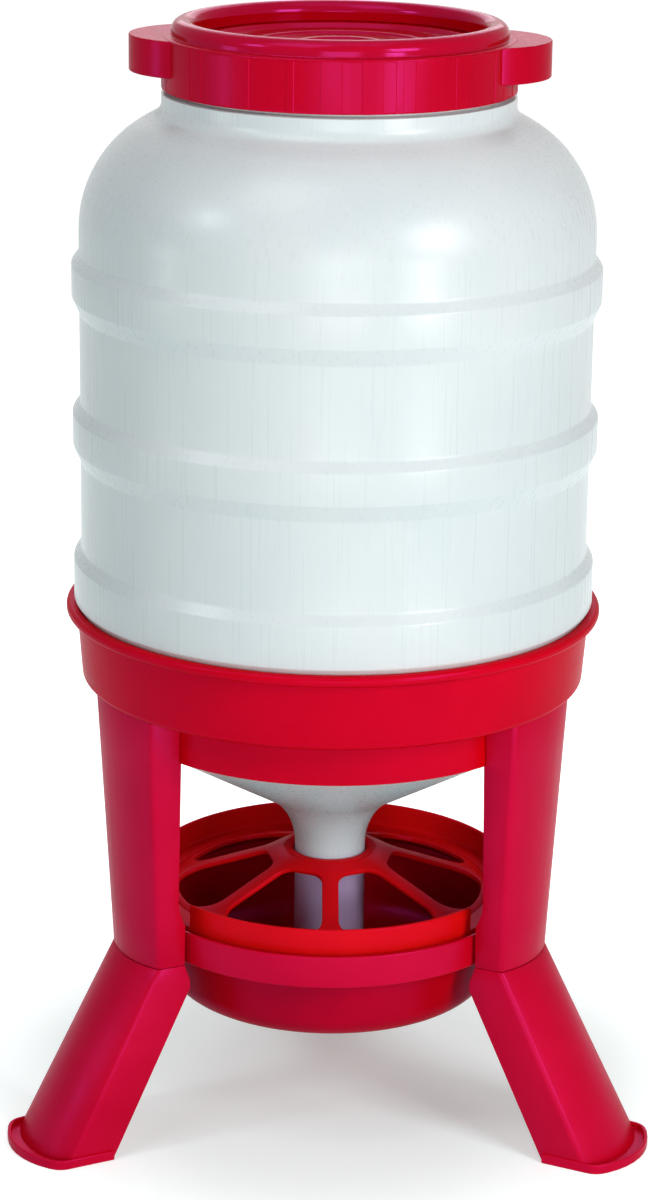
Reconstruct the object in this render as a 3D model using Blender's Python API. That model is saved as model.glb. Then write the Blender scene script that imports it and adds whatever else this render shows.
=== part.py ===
"""Poultry feeder: a drum hopper hanging in a three-legged stand, over a bowl with a spoked grille.

All sizes are in metres, +Z is up and the origin is on the floor, under the middle of the hopper.
The front of the feeder faces -Y. Each leg is modelled pointing along +X and then turned into place,
so inside the leg functions "out" is the distance from the feeder's centre line and "across" is the
distance to either side of the leg's own middle plane.
"""
import bpy
import bmesh
from math import acos, atan2, ceil, cos, pi, radians, sin, sqrt, tan
from mathutils import Vector

# How finely round shapes are faceted
SEGMENTS = 36
WIDE_ARC_STEP = radians(15)
SMALL_ARC_STEP = radians(38)
WIDE_ARC_RADIUS = 0.020

# Clearances
SEAT_GAP = 0.0003
PLUG_GAP = 0.0005
SLIDE_GAP = 0.0010

# Legs: one at the back and one each side of the front
LEG_TURNS = {"left": radians(-60), "right": radians(60), "back": radians(180)}
LEG_WALL = 0.0030
LEG_CORNER_FILLET = 0.0050
LEG_CORNER_STEPS = 2
LEAST_FILLET = 0.0010
FACE_POINT_SHARE = 0.55
LEG_SIDE_FLARE = radians(3.0)

# Splayed feet
CREASE_HEIGHT = 0.1337
FOOT_REACH = 0.0791
FOOT_HALF_WIDTH = 0.0398
FOOT_BULGE = 0.0135
FOOT_SIDE_DEPTH = 0.0350
KNEE_DROP = 0.0150
KNEE_INSET = 0.0050
KNEE_ROUNDING = 0.0080
PLUG_HEIGHT = 0.0125
PLUG_WALL = 0.0025
FLANGE_FLOOR = 0.0030
FLANGE_LIP_HEIGHT = 0.0070
FLANGE_LIP_WALL = 0.0022
FLANGE_END_MARGIN = 0.0090
FLANGE_BULGE = 0.0155
FLANGE_SIDE_MARGIN = 0.0012
FLANGE_CORNER_FILLET = 0.0085

# Uprights, between the splayed feet and the stand's top ring
UPRIGHT_LENGTH = 0.1873
UPRIGHT_BASE_HALF_WIDTH = 0.0351
UPRIGHT_TOP_HALF_WIDTH = 0.0417
UPRIGHT_BASE_BULGE = 0.0088
UPRIGHT_TOP_BULGE = 0.0065
UPRIGHT_TOP_INSET = 0.0036
UPRIGHT_BASE_DEPTH = 0.0273
UPRIGHT_SIDE_STEP = 0.0055
SHOULDER_START = 0.0300
SHOULDER_RISE = 0.0200
SHOULDER_STEPS = 3

# Top ring of the stand
RING_INSET = 0.0004
RING_FLARE = 0.0037
RING_HEIGHT = 0.0552
RING_WALL = 0.0030
RING_LEDGE = 0.0028
RING_BASE_FILLET = 0.0030
LIP_OVERHANG = 0.0075
LIP_THICKNESS = 0.0074
LIP_ROUNDING = 0.0028
SKIRT_INSET = 0.0120
SKIRT_DROP = 0.0288
TONGUE_DROP = 0.0220
TONGUE_WALL = 0.0025

# Bowl
BOWL_INSET = 0.0515
BOWL_DEPTH = 0.0598
BOWL_TAPER = 0.0095
BOWL_WALL = 0.0028
BOWL_FLOOR_FILLET = 0.0210
BOWL_RIM_WIDTH = 0.0095
BOWL_RIM_THICKNESS = 0.0028
SPREADER_RADIUS = 0.0360
SPREADER_HEIGHT = 0.0110

# Ring that carries the bowl
BOWL_RING_WALL = 0.0030
BOWL_RING_HEIGHT = 0.0234
BOWL_RING_DRAFT = 0.0010
BOWL_LEDGE_HEIGHT = 0.0098
BOWL_LEDGE_THICKNESS = 0.0030
LUG_WALL = 0.0030
LUG_HEIGHT = 0.0080

# Grille
SPOKES = 7
GRILLE_INSET = 0.0042
GRILLE_RIM_HEIGHT = 0.0271
GRILLE_RIM_WALL = 0.0030
GRILLE_RIM_ROUNDING = 0.0014
GRILLE_WEB = 0.0035
GRILLE_LEDGE_DROP = 0.0170
GRILLE_LEDGE_WIDTH = 0.0130
GRILLE_CROWN = 0.0295
HUB_RADIUS = 0.0330
HUB_DEPTH = 0.0085
SPOKE_WIDTH = 0.0118
OPENING_START = 0.0470
OPENING_END_INSET = 0.0214
OPENING_INNER_FILLET = 0.0110
OPENING_OUTER_FILLET = 0.0165
NOTCH_HALF_WIDTH = 0.0265
NOTCH_DEPTH = 0.0052

# Hopper
BODY_RADIUS = 0.1786
HOPPER_WALL = 0.0028
BODY_HEIGHT = 0.3670
SPIGOT_GAP = 0.0018
SPIGOT_HEIGHT = 0.0403
SPIGOT_FLANK = 0.0153
SPIGOT_FILLET = 0.0060
CONE_SLOPE = 0.549
CONE_CLEARANCE = 0.0010
CONE_STEP = 0.0323
CONE_FILLET = 0.0080
OUTLET_RADIUS = 0.0255
OUTLET_WALL = 0.0025
OUTLET_END_HEIGHT = 0.0180
FLARE_RADIUS = 0.0450
BANDS = 3
BAND_RAISE = 0.0052
BAND_FLAT = 0.0222
BAND_TOP_FLANK = 0.0074
BAND_BASE_FLANK = 0.0118
BAND_PITCH = 0.1045
TOP_BAND_DROP = 0.0729
SHOULDER_HEIGHT = 0.0317
SHOULDER_RADIUS = 0.0850
SHOULDER_NECK_FILLET = 0.0105
COLLAR_STEP = 0.0056
COLLAR_HEIGHT = 0.0125
NECK_RADIUS = 0.1160
NECK_WALL = 0.0040
NECK_HEIGHT = 0.0291

# Lid: a turning screw ring holds a cover disc down on a gasket
GASKET_WIDTH = 0.0060
GASKET_THICKNESS = 0.0028
DISC_THICKNESS = 0.0030
DISC_OVERLAP = 0.0018
DISC_SPIGOT_DEPTH = 0.0070
DISC_SPIGOT_WALL = 0.0025
DISC_PANEL_INSET = 0.0260
DISC_PANEL_DROP = 0.0032
DISC_RIDGES = (0.0620, 0.0310)
DISC_RIDGE_WIDTH = 0.0080
DISC_RIDGE_RAISE = 0.0020
SCREW_RING_WALL = 0.0030
SCREW_RING_SKIRT = 0.0359
SCREW_RING_CORNER = 0.0025
SHOULDER_WIDTH = 0.0066
ROLL_RISE = 0.0108
ROLL_WIDTH = 0.0160
EAR_RADIUS = 0.0532
EAR_REACH = 0.0226
EAR_THICKNESS = 0.0250
EAR_DROP = 0.0003
EAR_WALL = 0.0030
EAR_EDGE = 0.0012
EAR_RIB_OFFSETS = (-0.0160, 0.0160)
EAR_STEPS = 12
EAR_ROOT_STEPS = 5

# Colours
RED = (0.62, 0.012, 0.035, 1.0)
DARK_RED = (0.50, 0.008, 0.022, 1.0)
ORANGE_RED = (0.72, 0.018, 0.012, 1.0)
MILKY_WHITE = (0.72, 0.80, 0.80, 1.0)
BLACK_FOAM = (0.03, 0.03, 0.03, 1.0)

# Heights and radii that follow from the sizes above
BOWL_RADIUS = BODY_RADIUS - BOWL_INSET
COLLAR_RADIUS = NECK_RADIUS + COLLAR_STEP
DISC_PANEL_RADIUS = NECK_RADIUS - DISC_PANEL_INSET
CREASE_Z = CREASE_HEIGHT
LEDGE_Z = CREASE_Z + UPRIGHT_LENGTH
RING_TOP_Z = LEDGE_Z + RING_HEIGHT
HOPPER_SEAT_Z = LEDGE_Z + RING_LEDGE + SEAT_GAP
RING_BASE_RADIUS = BODY_RADIUS - RING_INSET
SKIRT_OUTER_RADIUS = RING_BASE_RADIUS - SKIRT_INSET
SKIRT_INNER_RADIUS = SKIRT_OUTER_RADIUS - RING_WALL
SPIGOT_RADIUS = RING_BASE_RADIUS - RING_WALL - SPIGOT_GAP
CONE_EDGE_RADIUS = SKIRT_INNER_RADIUS - SLIDE_GAP / 2
BODY_TOP_Z = HOPPER_SEAT_Z + BODY_HEIGHT
COLLAR_Z = BODY_TOP_Z + SHOULDER_HEIGHT
SCREW_SEAT_Z = COLLAR_Z + COLLAR_HEIGHT
NECK_TOP_Z = SCREW_SEAT_Z + NECK_HEIGHT
GASKET_Z = NECK_TOP_Z + SEAT_GAP
DISC_Z = GASKET_Z + GASKET_THICKNESS + SEAT_GAP
DISC_TOP_Z = DISC_Z + DISC_THICKNESS
SCREW_RING_Z = DISC_TOP_Z + SEAT_GAP
SCREW_RING_SHOULDER_Z = SCREW_RING_Z + SCREW_RING_WALL
SCREW_RING_RADIUS = COLLAR_RADIUS
SCREW_RING_INNER_RADIUS = SCREW_RING_RADIUS - SCREW_RING_WALL
EAR_MIDDLE = SCREW_RING_RADIUS + EAR_REACH - EAR_RADIUS
DISC_RADIUS = NECK_RADIUS + DISC_OVERLAP
UPRIGHT_TOP_Z = LEDGE_Z - SEAT_GAP
UPRIGHT_TOP_CROWN = RING_BASE_RADIUS - UPRIGHT_TOP_INSET
BOWL_RIM_RADIUS = BOWL_RADIUS + BOWL_RIM_WIDTH
GRILLE_RADIUS = BOWL_RIM_RADIUS - GRILLE_INSET
OPENING_END = GRILLE_RADIUS - OPENING_END_INSET
BOWL_RING_RADIUS = BOWL_RIM_RADIUS + SLIDE_GAP + BOWL_RING_WALL
UPRIGHT_BASE_CROWN = BOWL_RING_RADIUS + UPRIGHT_BASE_DEPTH - SEAT_GAP
UPRIGHT_BASE_INNER = BOWL_RING_RADIUS - SEAT_GAP
UPRIGHT_INNER = UPRIGHT_BASE_INNER + UPRIGHT_SIDE_STEP
BOWL_LEDGE_Z = CREASE_Z + BOWL_LEDGE_HEIGHT
BOWL_RIM_Z = BOWL_LEDGE_Z + SEAT_GAP
GRILLE_Z = BOWL_RIM_Z + BOWL_RIM_THICKNESS + SEAT_GAP
GRILLE_TOP_Z = GRILLE_Z + GRILLE_RIM_HEIGHT
GRILLE_LEDGE_Z = GRILLE_TOP_Z - GRILLE_LEDGE_DROP
HUB_Z = GRILLE_LEDGE_Z + GRILLE_CROWN
HUB_BORE_RADIUS = OUTLET_RADIUS + SLIDE_GAP
BOWL_FLOOR_Z = BOWL_RIM_Z - BOWL_DEPTH
OUTLET_END_Z = BOWL_FLOOR_Z + BOWL_WALL + SPREADER_HEIGHT + OUTLET_END_HEIGHT


def clear_scene():
    for item in list(bpy.data.objects):
        bpy.data.objects.remove(item, do_unlink=True)


def make_material(name, colour, roughness, metallic=0.0):
    material = bpy.data.materials.new(name)
    material.use_nodes = True
    shader = material.node_tree.nodes["Principled BSDF"]
    shader.inputs["Base Color"].default_value = colour
    shader.inputs["Roughness"].default_value = roughness
    shader.inputs["Metallic"].default_value = metallic
    material.diffuse_color = colour
    return material


def arc_steps(sweep, radius):
    step = WIDE_ARC_STEP if radius >= WIDE_ARC_RADIUS else SMALL_ARC_STEP
    return max(1, ceil(sweep / step))


def filleted_corner(before, corner, after, radius, steps):
    """Points of the arc that rounds one corner of an outline."""
    corner = Vector(corner)
    to_before = (Vector(before) - corner).normalized()
    to_after = (Vector(after) - corner).normalized()
    between = acos(max(-1.0, min(1.0, to_before.dot(to_after))))
    sweep = pi - between
    if radius <= 0.0 or sweep < radians(1):
        return [corner]
    reach = radius / tan(between / 2)
    centre = corner + (to_before + to_after).normalized() * (radius / sin(between / 2))
    first = corner + to_before * reach - centre
    last = corner + to_after * reach - centre
    start = atan2(first.y, first.x)
    turn = atan2(first.x * last.y - first.y * last.x, first.dot(last))
    steps = steps or arc_steps(sweep, radius)
    return [centre + radius * Vector((cos(start + turn * i / steps), sin(start + turn * i / steps)))
            for i in range(steps + 1)]


def rounded_outline(corners, closed=True, steps=None):
    """An outline from corners given as (x, y) or (x, y, fillet radius)."""
    points = []
    count = len(corners)
    for index, corner in enumerate(corners):
        radius = corner[2] if len(corner) > 2 else 0.0
        at_end = index in (0, count - 1)
        if radius == 0.0 or (at_end and not closed):
            points.append(Vector(corner[:2]))
            continue
        before = corners[index - 1][:2]
        after = corners[(index + 1) % count][:2]
        points.extend(filleted_corner(before, corner[:2], after, radius, steps))
    return points


def finish_mesh(name, mesh_builder, material, sharp_angle=radians(32)):
    bmesh.ops.remove_doubles(mesh_builder, verts=mesh_builder.verts, dist=0.000002)
    bmesh.ops.recalc_face_normals(mesh_builder, faces=mesh_builder.faces)
    mesh = bpy.data.meshes.new(name)
    mesh_builder.to_mesh(mesh)
    mesh_builder.free()
    mesh.materials.append(material)
    mesh.shade_smooth()
    mesh.set_sharp_from_angle(angle=sharp_angle)
    item = bpy.data.objects.new(name, mesh)
    bpy.context.scene.collection.objects.link(item)
    return item


def turned(name, points, material, closed=True, segments=SEGMENTS):
    """A body of revolution about Z from an outline of (radius, height) points."""
    mesh_builder = bmesh.new()
    ring = [mesh_builder.verts.new((point.x, 0.0, point.y)) for point in points]
    edges = [mesh_builder.edges.new((ring[i], ring[i + 1])) for i in range(len(ring) - 1)]
    if closed:
        edges.append(mesh_builder.edges.new((ring[-1], ring[0])))
    bmesh.ops.spin(mesh_builder, geom=ring + edges, cent=(0, 0, 0), axis=(0, 0, 1),
                   angle=2 * pi, steps=segments, use_merge=True)
    return finish_mesh(name, mesh_builder, material)


def lofted(name, sections, material):
    """A closed body through rings of points, each with the same count, with flat ends."""
    mesh_builder = bmesh.new()
    rings = [[mesh_builder.verts.new(point) for point in section] for section in sections]
    for lower, upper in zip(rings, rings[1:]):
        for i in range(len(lower)):
            j = (i + 1) % len(lower)
            mesh_builder.faces.new((lower[i], lower[j], upper[j], upper[i]))
    for end in (rings[0], rings[-1]):
        mesh_builder.faces.new(end)
    return finish_mesh(name, mesh_builder, material)


def extruded(name, points, bottom, top, material):
    """A flat outline raised from one height to another."""
    return lofted(name, [[(p.x, p.y, height) for p in points] for height in (bottom, top)], material)


def combine(target, helper, operation):
    """Joins a helper to a body, or cuts it away, and hides the helper."""
    modifier = target.modifiers.new(helper.name, "BOOLEAN")
    modifier.operation = operation
    modifier.solver = "EXACT"
    modifier.object = helper
    helper.hide_render = True
    helper.display_type = "WIRE"


def turn_to_leg(item, leg):
    item.rotation_euler.z = LEG_TURNS[leg] - pi / 2


def blend(low, high, share):
    return low + (high - low) * share


def channel_outline(crown, half_width, bulge, inner, fillet=LEG_CORNER_FILLET):
    """The outer line of a leg: two flared sides and a bowed face, open toward the centre."""
    face_radius = (half_width ** 2 + bulge ** 2) / (2 * bulge)
    part_way = half_width * FACE_POINT_SHARE
    part_way_out = crown - face_radius + sqrt(face_radius ** 2 - part_way ** 2)
    corner_out = crown - bulge
    edge_across = half_width + (corner_out - inner) * tan(LEG_SIDE_FLARE)
    return rounded_outline([
        (inner, edge_across),
        (corner_out, half_width, fillet),
        (part_way_out, part_way),
        (crown, 0.0),
        (part_way_out, -part_way),
        (corner_out, -half_width, fillet),
        (inner, -edge_across),
    ], closed=False, steps=LEG_CORNER_STEPS)


def channel_section(height, crown, half_width, bulge, inner, wall, fillet=LEG_CORNER_FILLET):
    """One level of an open channel with walls of even thickness."""
    inside_fillet = max(fillet - wall, LEAST_FILLET)
    outer = channel_outline(crown, half_width, bulge, inner, fillet)
    inside = channel_outline(crown - wall, half_width - wall, bulge, inner, inside_fillet)
    return [(p.x, p.y, height) for p in outer] + [(p.x, p.y, height) for p in reversed(inside)]


def across_from(radius, across):
    """How far out a point at this radius is when it lies this far to one side."""
    return sqrt(radius ** 2 - across ** 2)


def upright_shape(height):
    """Crown, half width and bulge of an upright at a height above the floor."""
    share = (height - CREASE_Z) / (LEDGE_Z - CREASE_Z)
    return (blend(UPRIGHT_BASE_CROWN, UPRIGHT_TOP_CROWN, share),
            blend(UPRIGHT_BASE_HALF_WIDTH, UPRIGHT_TOP_HALF_WIDTH, share),
            blend(UPRIGHT_BASE_BULGE, UPRIGHT_TOP_BULGE, share))


def make_upright(leg, material):
    """A tapering channel whose sides reach in by a curved shoulder to meet the bowl's ring."""
    shoulder_z = CREASE_Z + SHOULDER_START
    levels = [(CREASE_Z + SEAT_GAP, UPRIGHT_BASE_INNER)]
    for step in range(SHOULDER_STEPS + 1):
        share = step / SHOULDER_STEPS
        levels.append((shoulder_z + SHOULDER_RISE * share,
                       blend(UPRIGHT_BASE_INNER, UPRIGHT_INNER, sin(share * pi / 2))))
    cut_back_z = LEDGE_Z - SKIRT_DROP - PLUG_GAP
    top_inner = across_from(SKIRT_OUTER_RADIUS + PLUG_GAP, UPRIGHT_TOP_HALF_WIDTH - LEG_WALL * 2)
    inner_edge_radius = sqrt(UPRIGHT_INNER ** 2 + UPRIGHT_TOP_HALF_WIDTH ** 2)
    levels.append((cone_height(inner_edge_radius) - CONE_CLEARANCE, UPRIGHT_INNER))
    levels.append((cut_back_z, top_inner))
    levels.append((UPRIGHT_TOP_Z, top_inner))
    sections = []
    for height, inner in levels:
        crown, half_width, bulge = upright_shape(height)
        sections.append(channel_section(height, crown, half_width, bulge, inner, LEG_WALL))
    upright = lofted("upright_" + leg, sections, material)
    turn_to_leg(upright, leg)
    return upright


def plug_section(height, wall, inner):
    """A channel that fits inside an upright."""
    crown, half_width, bulge = upright_shape(height)
    inset = LEG_WALL + PLUG_GAP
    return channel_section(height, crown - inset, half_width - inset, bulge, inner, wall,
                           LEG_CORNER_FILLET - LEG_WALL)


def knee_inner(height):
    """How far out the foot's inner edge is: a rounded knee, then a straight splay to the floor."""
    knee_z = CREASE_Z - KNEE_DROP
    knee_out = UPRIGHT_BASE_INNER - KNEE_INSET
    floor_out = UPRIGHT_BASE_CROWN + FOOT_REACH - FOOT_BULGE - FOOT_SIDE_DEPTH
    if height < knee_z:
        return blend(floor_out, knee_out, height / knee_z)
    return blend(knee_out, UPRIGHT_BASE_INNER, (height - knee_z) / KNEE_DROP)


def foot_section(height, wall=LEG_WALL):
    share = 1 - height / CREASE_Z
    return channel_section(height,
                           UPRIGHT_BASE_CROWN + FOOT_REACH * share,
                           blend(UPRIGHT_BASE_HALF_WIDTH, FOOT_HALF_WIDTH, share),
                           blend(UPRIGHT_BASE_BULGE, FOOT_BULGE, share),
                           knee_inner(height), wall)


def make_foot(leg, material):
    """A splayed channel on a D-shaped flange, with a plug that enters the upright above it."""
    knee_z = CREASE_Z - KNEE_DROP
    levels = [FLANGE_FLOOR / 2, knee_z - KNEE_ROUNDING, knee_z - KNEE_ROUNDING / 4,
              knee_z + KNEE_ROUNDING / 2]
    sections = [foot_section(height) for height in levels]
    top = CREASE_Z
    thick = LEG_WALL + PLUG_GAP + PLUG_WALL
    sections.append(foot_section(top, thick))
    sections.append(plug_section(top, PLUG_WALL, UPRIGHT_INNER))
    sections.append(plug_section(top + PLUG_HEIGHT, PLUG_WALL, UPRIGHT_INNER))
    foot = lofted("foot_" + leg, sections, material)

    crown = UPRIGHT_BASE_CROWN + FOOT_REACH
    inner = knee_inner(0.0)
    half_width = FOOT_HALF_WIDTH + FLANGE_SIDE_MARGIN
    flange_outline = channel_outline(crown + FLANGE_END_MARGIN, half_width, FLANGE_BULGE, inner,
                                     FLANGE_CORNER_FILLET)
    flange = extruded("flange_" + leg, flange_outline, 0.0, FLANGE_LIP_HEIGHT, material)
    lip = FLANGE_LIP_WALL
    gutter_outline = channel_outline(crown + FLANGE_END_MARGIN - lip, half_width - lip, FLANGE_BULGE,
                                     inner - FLANGE_CORNER_FILLET, FLANGE_CORNER_FILLET - lip)
    gutter = extruded("gutter_" + leg, gutter_outline, FLANGE_FLOOR, 2 * FLANGE_LIP_HEIGHT, material)
    combine(flange, gutter, "DIFFERENCE")
    combine(foot, flange, "UNION")
    for item in (foot, flange, gutter):
        turn_to_leg(item, leg)
    return foot


def make_stand_ring(material):
    """The flared top ring: an outer wall with a rolled lip, a ledge for the hopper and a skirt."""
    wall_top = RING_BASE_RADIUS + RING_FLARE
    lip_radius = wall_top + LIP_OVERHANG
    ledge_top = LEDGE_Z + RING_LEDGE
    ring = turned("stand_ring", rounded_outline([
        (lip_radius, RING_TOP_Z, LIP_ROUNDING),
        (lip_radius, RING_TOP_Z - LIP_THICKNESS, LIP_ROUNDING),
        (wall_top, RING_TOP_Z - LIP_THICKNESS),
        (RING_BASE_RADIUS, LEDGE_Z, RING_BASE_FILLET),
        (SKIRT_OUTER_RADIUS, LEDGE_Z),
        (SKIRT_OUTER_RADIUS, LEDGE_Z - SKIRT_DROP),
        (SKIRT_INNER_RADIUS, LEDGE_Z - SKIRT_DROP),
        (SKIRT_INNER_RADIUS, ledge_top),
        (RING_BASE_RADIUS - RING_WALL, ledge_top),
        (wall_top - RING_WALL, RING_TOP_Z - LIP_THICKNESS),
        (lip_radius - LIP_THICKNESS, RING_TOP_Z),
    ]), material)
    tongue_inner = across_from(SKIRT_OUTER_RADIUS - RING_WALL / 2, UPRIGHT_TOP_HALF_WIDTH - LEG_WALL)
    for leg in LEG_TURNS:
        tongue = lofted("tongue_" + leg, [
            plug_section(LEDGE_Z + RING_LEDGE / 2, TONGUE_WALL, tongue_inner),
            plug_section(LEDGE_Z - TONGUE_DROP, TONGUE_WALL, tongue_inner)], material)
        turn_to_leg(tongue, leg)
        combine(ring, tongue, "UNION")
    return ring


def make_bowl_ring(material):
    """The low ring that carries the bowl, held by a looped lug inside each upright."""
    top = CREASE_Z + BOWL_RING_HEIGHT
    inner = BOWL_RING_RADIUS - BOWL_RING_WALL
    ledge = BOWL_RADIUS + SLIDE_GAP
    ring = turned("bowl_ring", rounded_outline([
        (BOWL_RING_RADIUS, top),
        (BOWL_RING_RADIUS - BOWL_RING_DRAFT, CREASE_Z),
        (inner - BOWL_RING_DRAFT, CREASE_Z),
        (inner - BOWL_RING_DRAFT, BOWL_LEDGE_Z - BOWL_LEDGE_THICKNESS),
        (ledge, BOWL_LEDGE_Z - BOWL_LEDGE_THICKNESS),
        (ledge, BOWL_LEDGE_Z),
        (inner, BOWL_LEDGE_Z),
        (inner, top),
    ]), material)
    lug_z = CREASE_Z + PLUG_HEIGHT + SEAT_GAP
    crown, half_width, bulge = upright_shape(lug_z)
    inset = LEG_WALL + PLUG_GAP
    root = BOWL_RING_RADIUS - BOWL_RING_WALL / 2
    for leg in LEG_TURNS:
        loop = channel_outline(crown - inset, half_width - inset, bulge, root - UPRIGHT_SIDE_STEP)
        hole = channel_outline(crown - inset - LUG_WALL, half_width - inset - LUG_WALL, bulge,
                               root - UPRIGHT_SIDE_STEP)
        section = loop + list(reversed(hole))
        lug = extruded("lug_" + leg, section, lug_z, lug_z + LUG_HEIGHT, material)
        turn_to_leg(lug, leg)
        combine(ring, lug, "UNION")
    bore = turned("bowl_ring_bore", rounded_outline([
        (0.0, lug_z - SLIDE_GAP), (inner, lug_z - SLIDE_GAP), (inner, top + SLIDE_GAP),
        (0.0, top + SLIDE_GAP)]), material, closed=False)
    combine(ring, bore, "DIFFERENCE")
    return ring


def make_bowl(material):
    """A deep pan with a flat rim, a rounded floor and a low cone that spreads the feed."""
    rim_top = BOWL_RIM_Z + BOWL_RIM_THICKNESS
    base = BOWL_RADIUS - BOWL_TAPER
    floor_top = BOWL_FLOOR_Z + BOWL_WALL
    return turned("bowl", rounded_outline([
        (0.0, BOWL_FLOOR_Z + SPREADER_HEIGHT),
        (SPREADER_RADIUS, BOWL_FLOOR_Z),
        (base, BOWL_FLOOR_Z, BOWL_FLOOR_FILLET),
        (BOWL_RADIUS, BOWL_RIM_Z),
        (BOWL_RIM_RADIUS, BOWL_RIM_Z),
        (BOWL_RIM_RADIUS, rim_top),
        (BOWL_RADIUS - BOWL_WALL, rim_top),
        (base - BOWL_WALL, floor_top, BOWL_FLOOR_FILLET - BOWL_WALL),
        (SPREADER_RADIUS, floor_top),
        (0.0, floor_top + SPREADER_HEIGHT),
    ], closed=False), material, closed=False)


def opening_outline(spoke_angle):
    """One opening between two spokes: straight sides along the spokes, rounded at its corners."""
    half = pi / SPOKES
    half_spoke = SPOKE_WIDTH / 2
    start_sweep = half - half_spoke / OPENING_START
    end_sweep = half - half_spoke / OPENING_END
    corners = [(OPENING_START, -start_sweep, OPENING_INNER_FILLET),
               (OPENING_END, -end_sweep, OPENING_OUTER_FILLET)]
    corners += [(OPENING_END, end_sweep * share, 0.0) for share in (-0.4, 0.4)]
    corners += [(OPENING_END, end_sweep, OPENING_OUTER_FILLET),
                (OPENING_START, start_sweep, OPENING_INNER_FILLET)]
    middle = spoke_angle + half
    return rounded_outline([(radius * cos(middle + angle), radius * sin(middle + angle), fillet)
                            for radius, angle, fillet in corners])


def make_grille(material):
    """A raised rim and a conical web on spokes, whose hub rides on the hopper's outlet tube."""
    ledge_radius = GRILLE_RADIUS - GRILLE_RIM_WALL - GRILLE_LEDGE_WIDTH
    rim_inner = GRILLE_RADIUS - GRILLE_RIM_WALL
    hub_wall = HUB_BORE_RADIUS + GRILLE_RIM_WALL
    grille = turned("grille", rounded_outline([
        (GRILLE_RADIUS, GRILLE_TOP_Z, GRILLE_RIM_ROUNDING),
        (GRILLE_RADIUS, GRILLE_Z),
        (rim_inner, GRILLE_Z),
        (rim_inner, GRILLE_LEDGE_Z - GRILLE_WEB),
        (ledge_radius, GRILLE_LEDGE_Z - GRILLE_WEB),
        (HUB_RADIUS, HUB_Z - GRILLE_WEB),
        (hub_wall, HUB_Z - GRILLE_WEB),
        (hub_wall, HUB_Z - HUB_DEPTH),
        (HUB_BORE_RADIUS, HUB_Z - HUB_DEPTH),
        (HUB_BORE_RADIUS, HUB_Z),
        (HUB_RADIUS, HUB_Z),
        (ledge_radius, GRILLE_LEDGE_Z),
        (rim_inner, GRILLE_LEDGE_Z),
        (rim_inner, GRILLE_TOP_Z, GRILLE_RIM_ROUNDING),
    ]), material)
    front = -pi / 2
    for index in range(SPOKES):
        outline = opening_outline(front + 2 * pi * index / SPOKES)
        opening = extruded("opening_%d" % (index + 1), outline, GRILLE_Z, HUB_Z + GRILLE_WEB, material)
        combine(grille, opening, "DIFFERENCE")
    for leg in LEG_TURNS:
        floor = GRILLE_RADIUS - NOTCH_DEPTH
        outline = [Vector(corner) for corner in (
            (floor, -NOTCH_HALF_WIDTH), (BOWL_RING_RADIUS, -NOTCH_HALF_WIDTH),
            (BOWL_RING_RADIUS, NOTCH_HALF_WIDTH), (floor, NOTCH_HALF_WIDTH))]
        notch = extruded("notch_" + leg, outline, GRILLE_LEDGE_Z + SEAT_GAP,
                         GRILLE_TOP_Z + GRILLE_WEB, material)
        turn_to_leg(notch, leg)
        combine(grille, notch, "DIFFERENCE")
    return grille


def cone_height(radius):
    """Outside of the hopper's cone."""
    edge_z = HOPPER_SEAT_Z - CONE_STEP
    return edge_z - CONE_SLOPE * (CONE_EDGE_RADIUS - radius)


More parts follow.
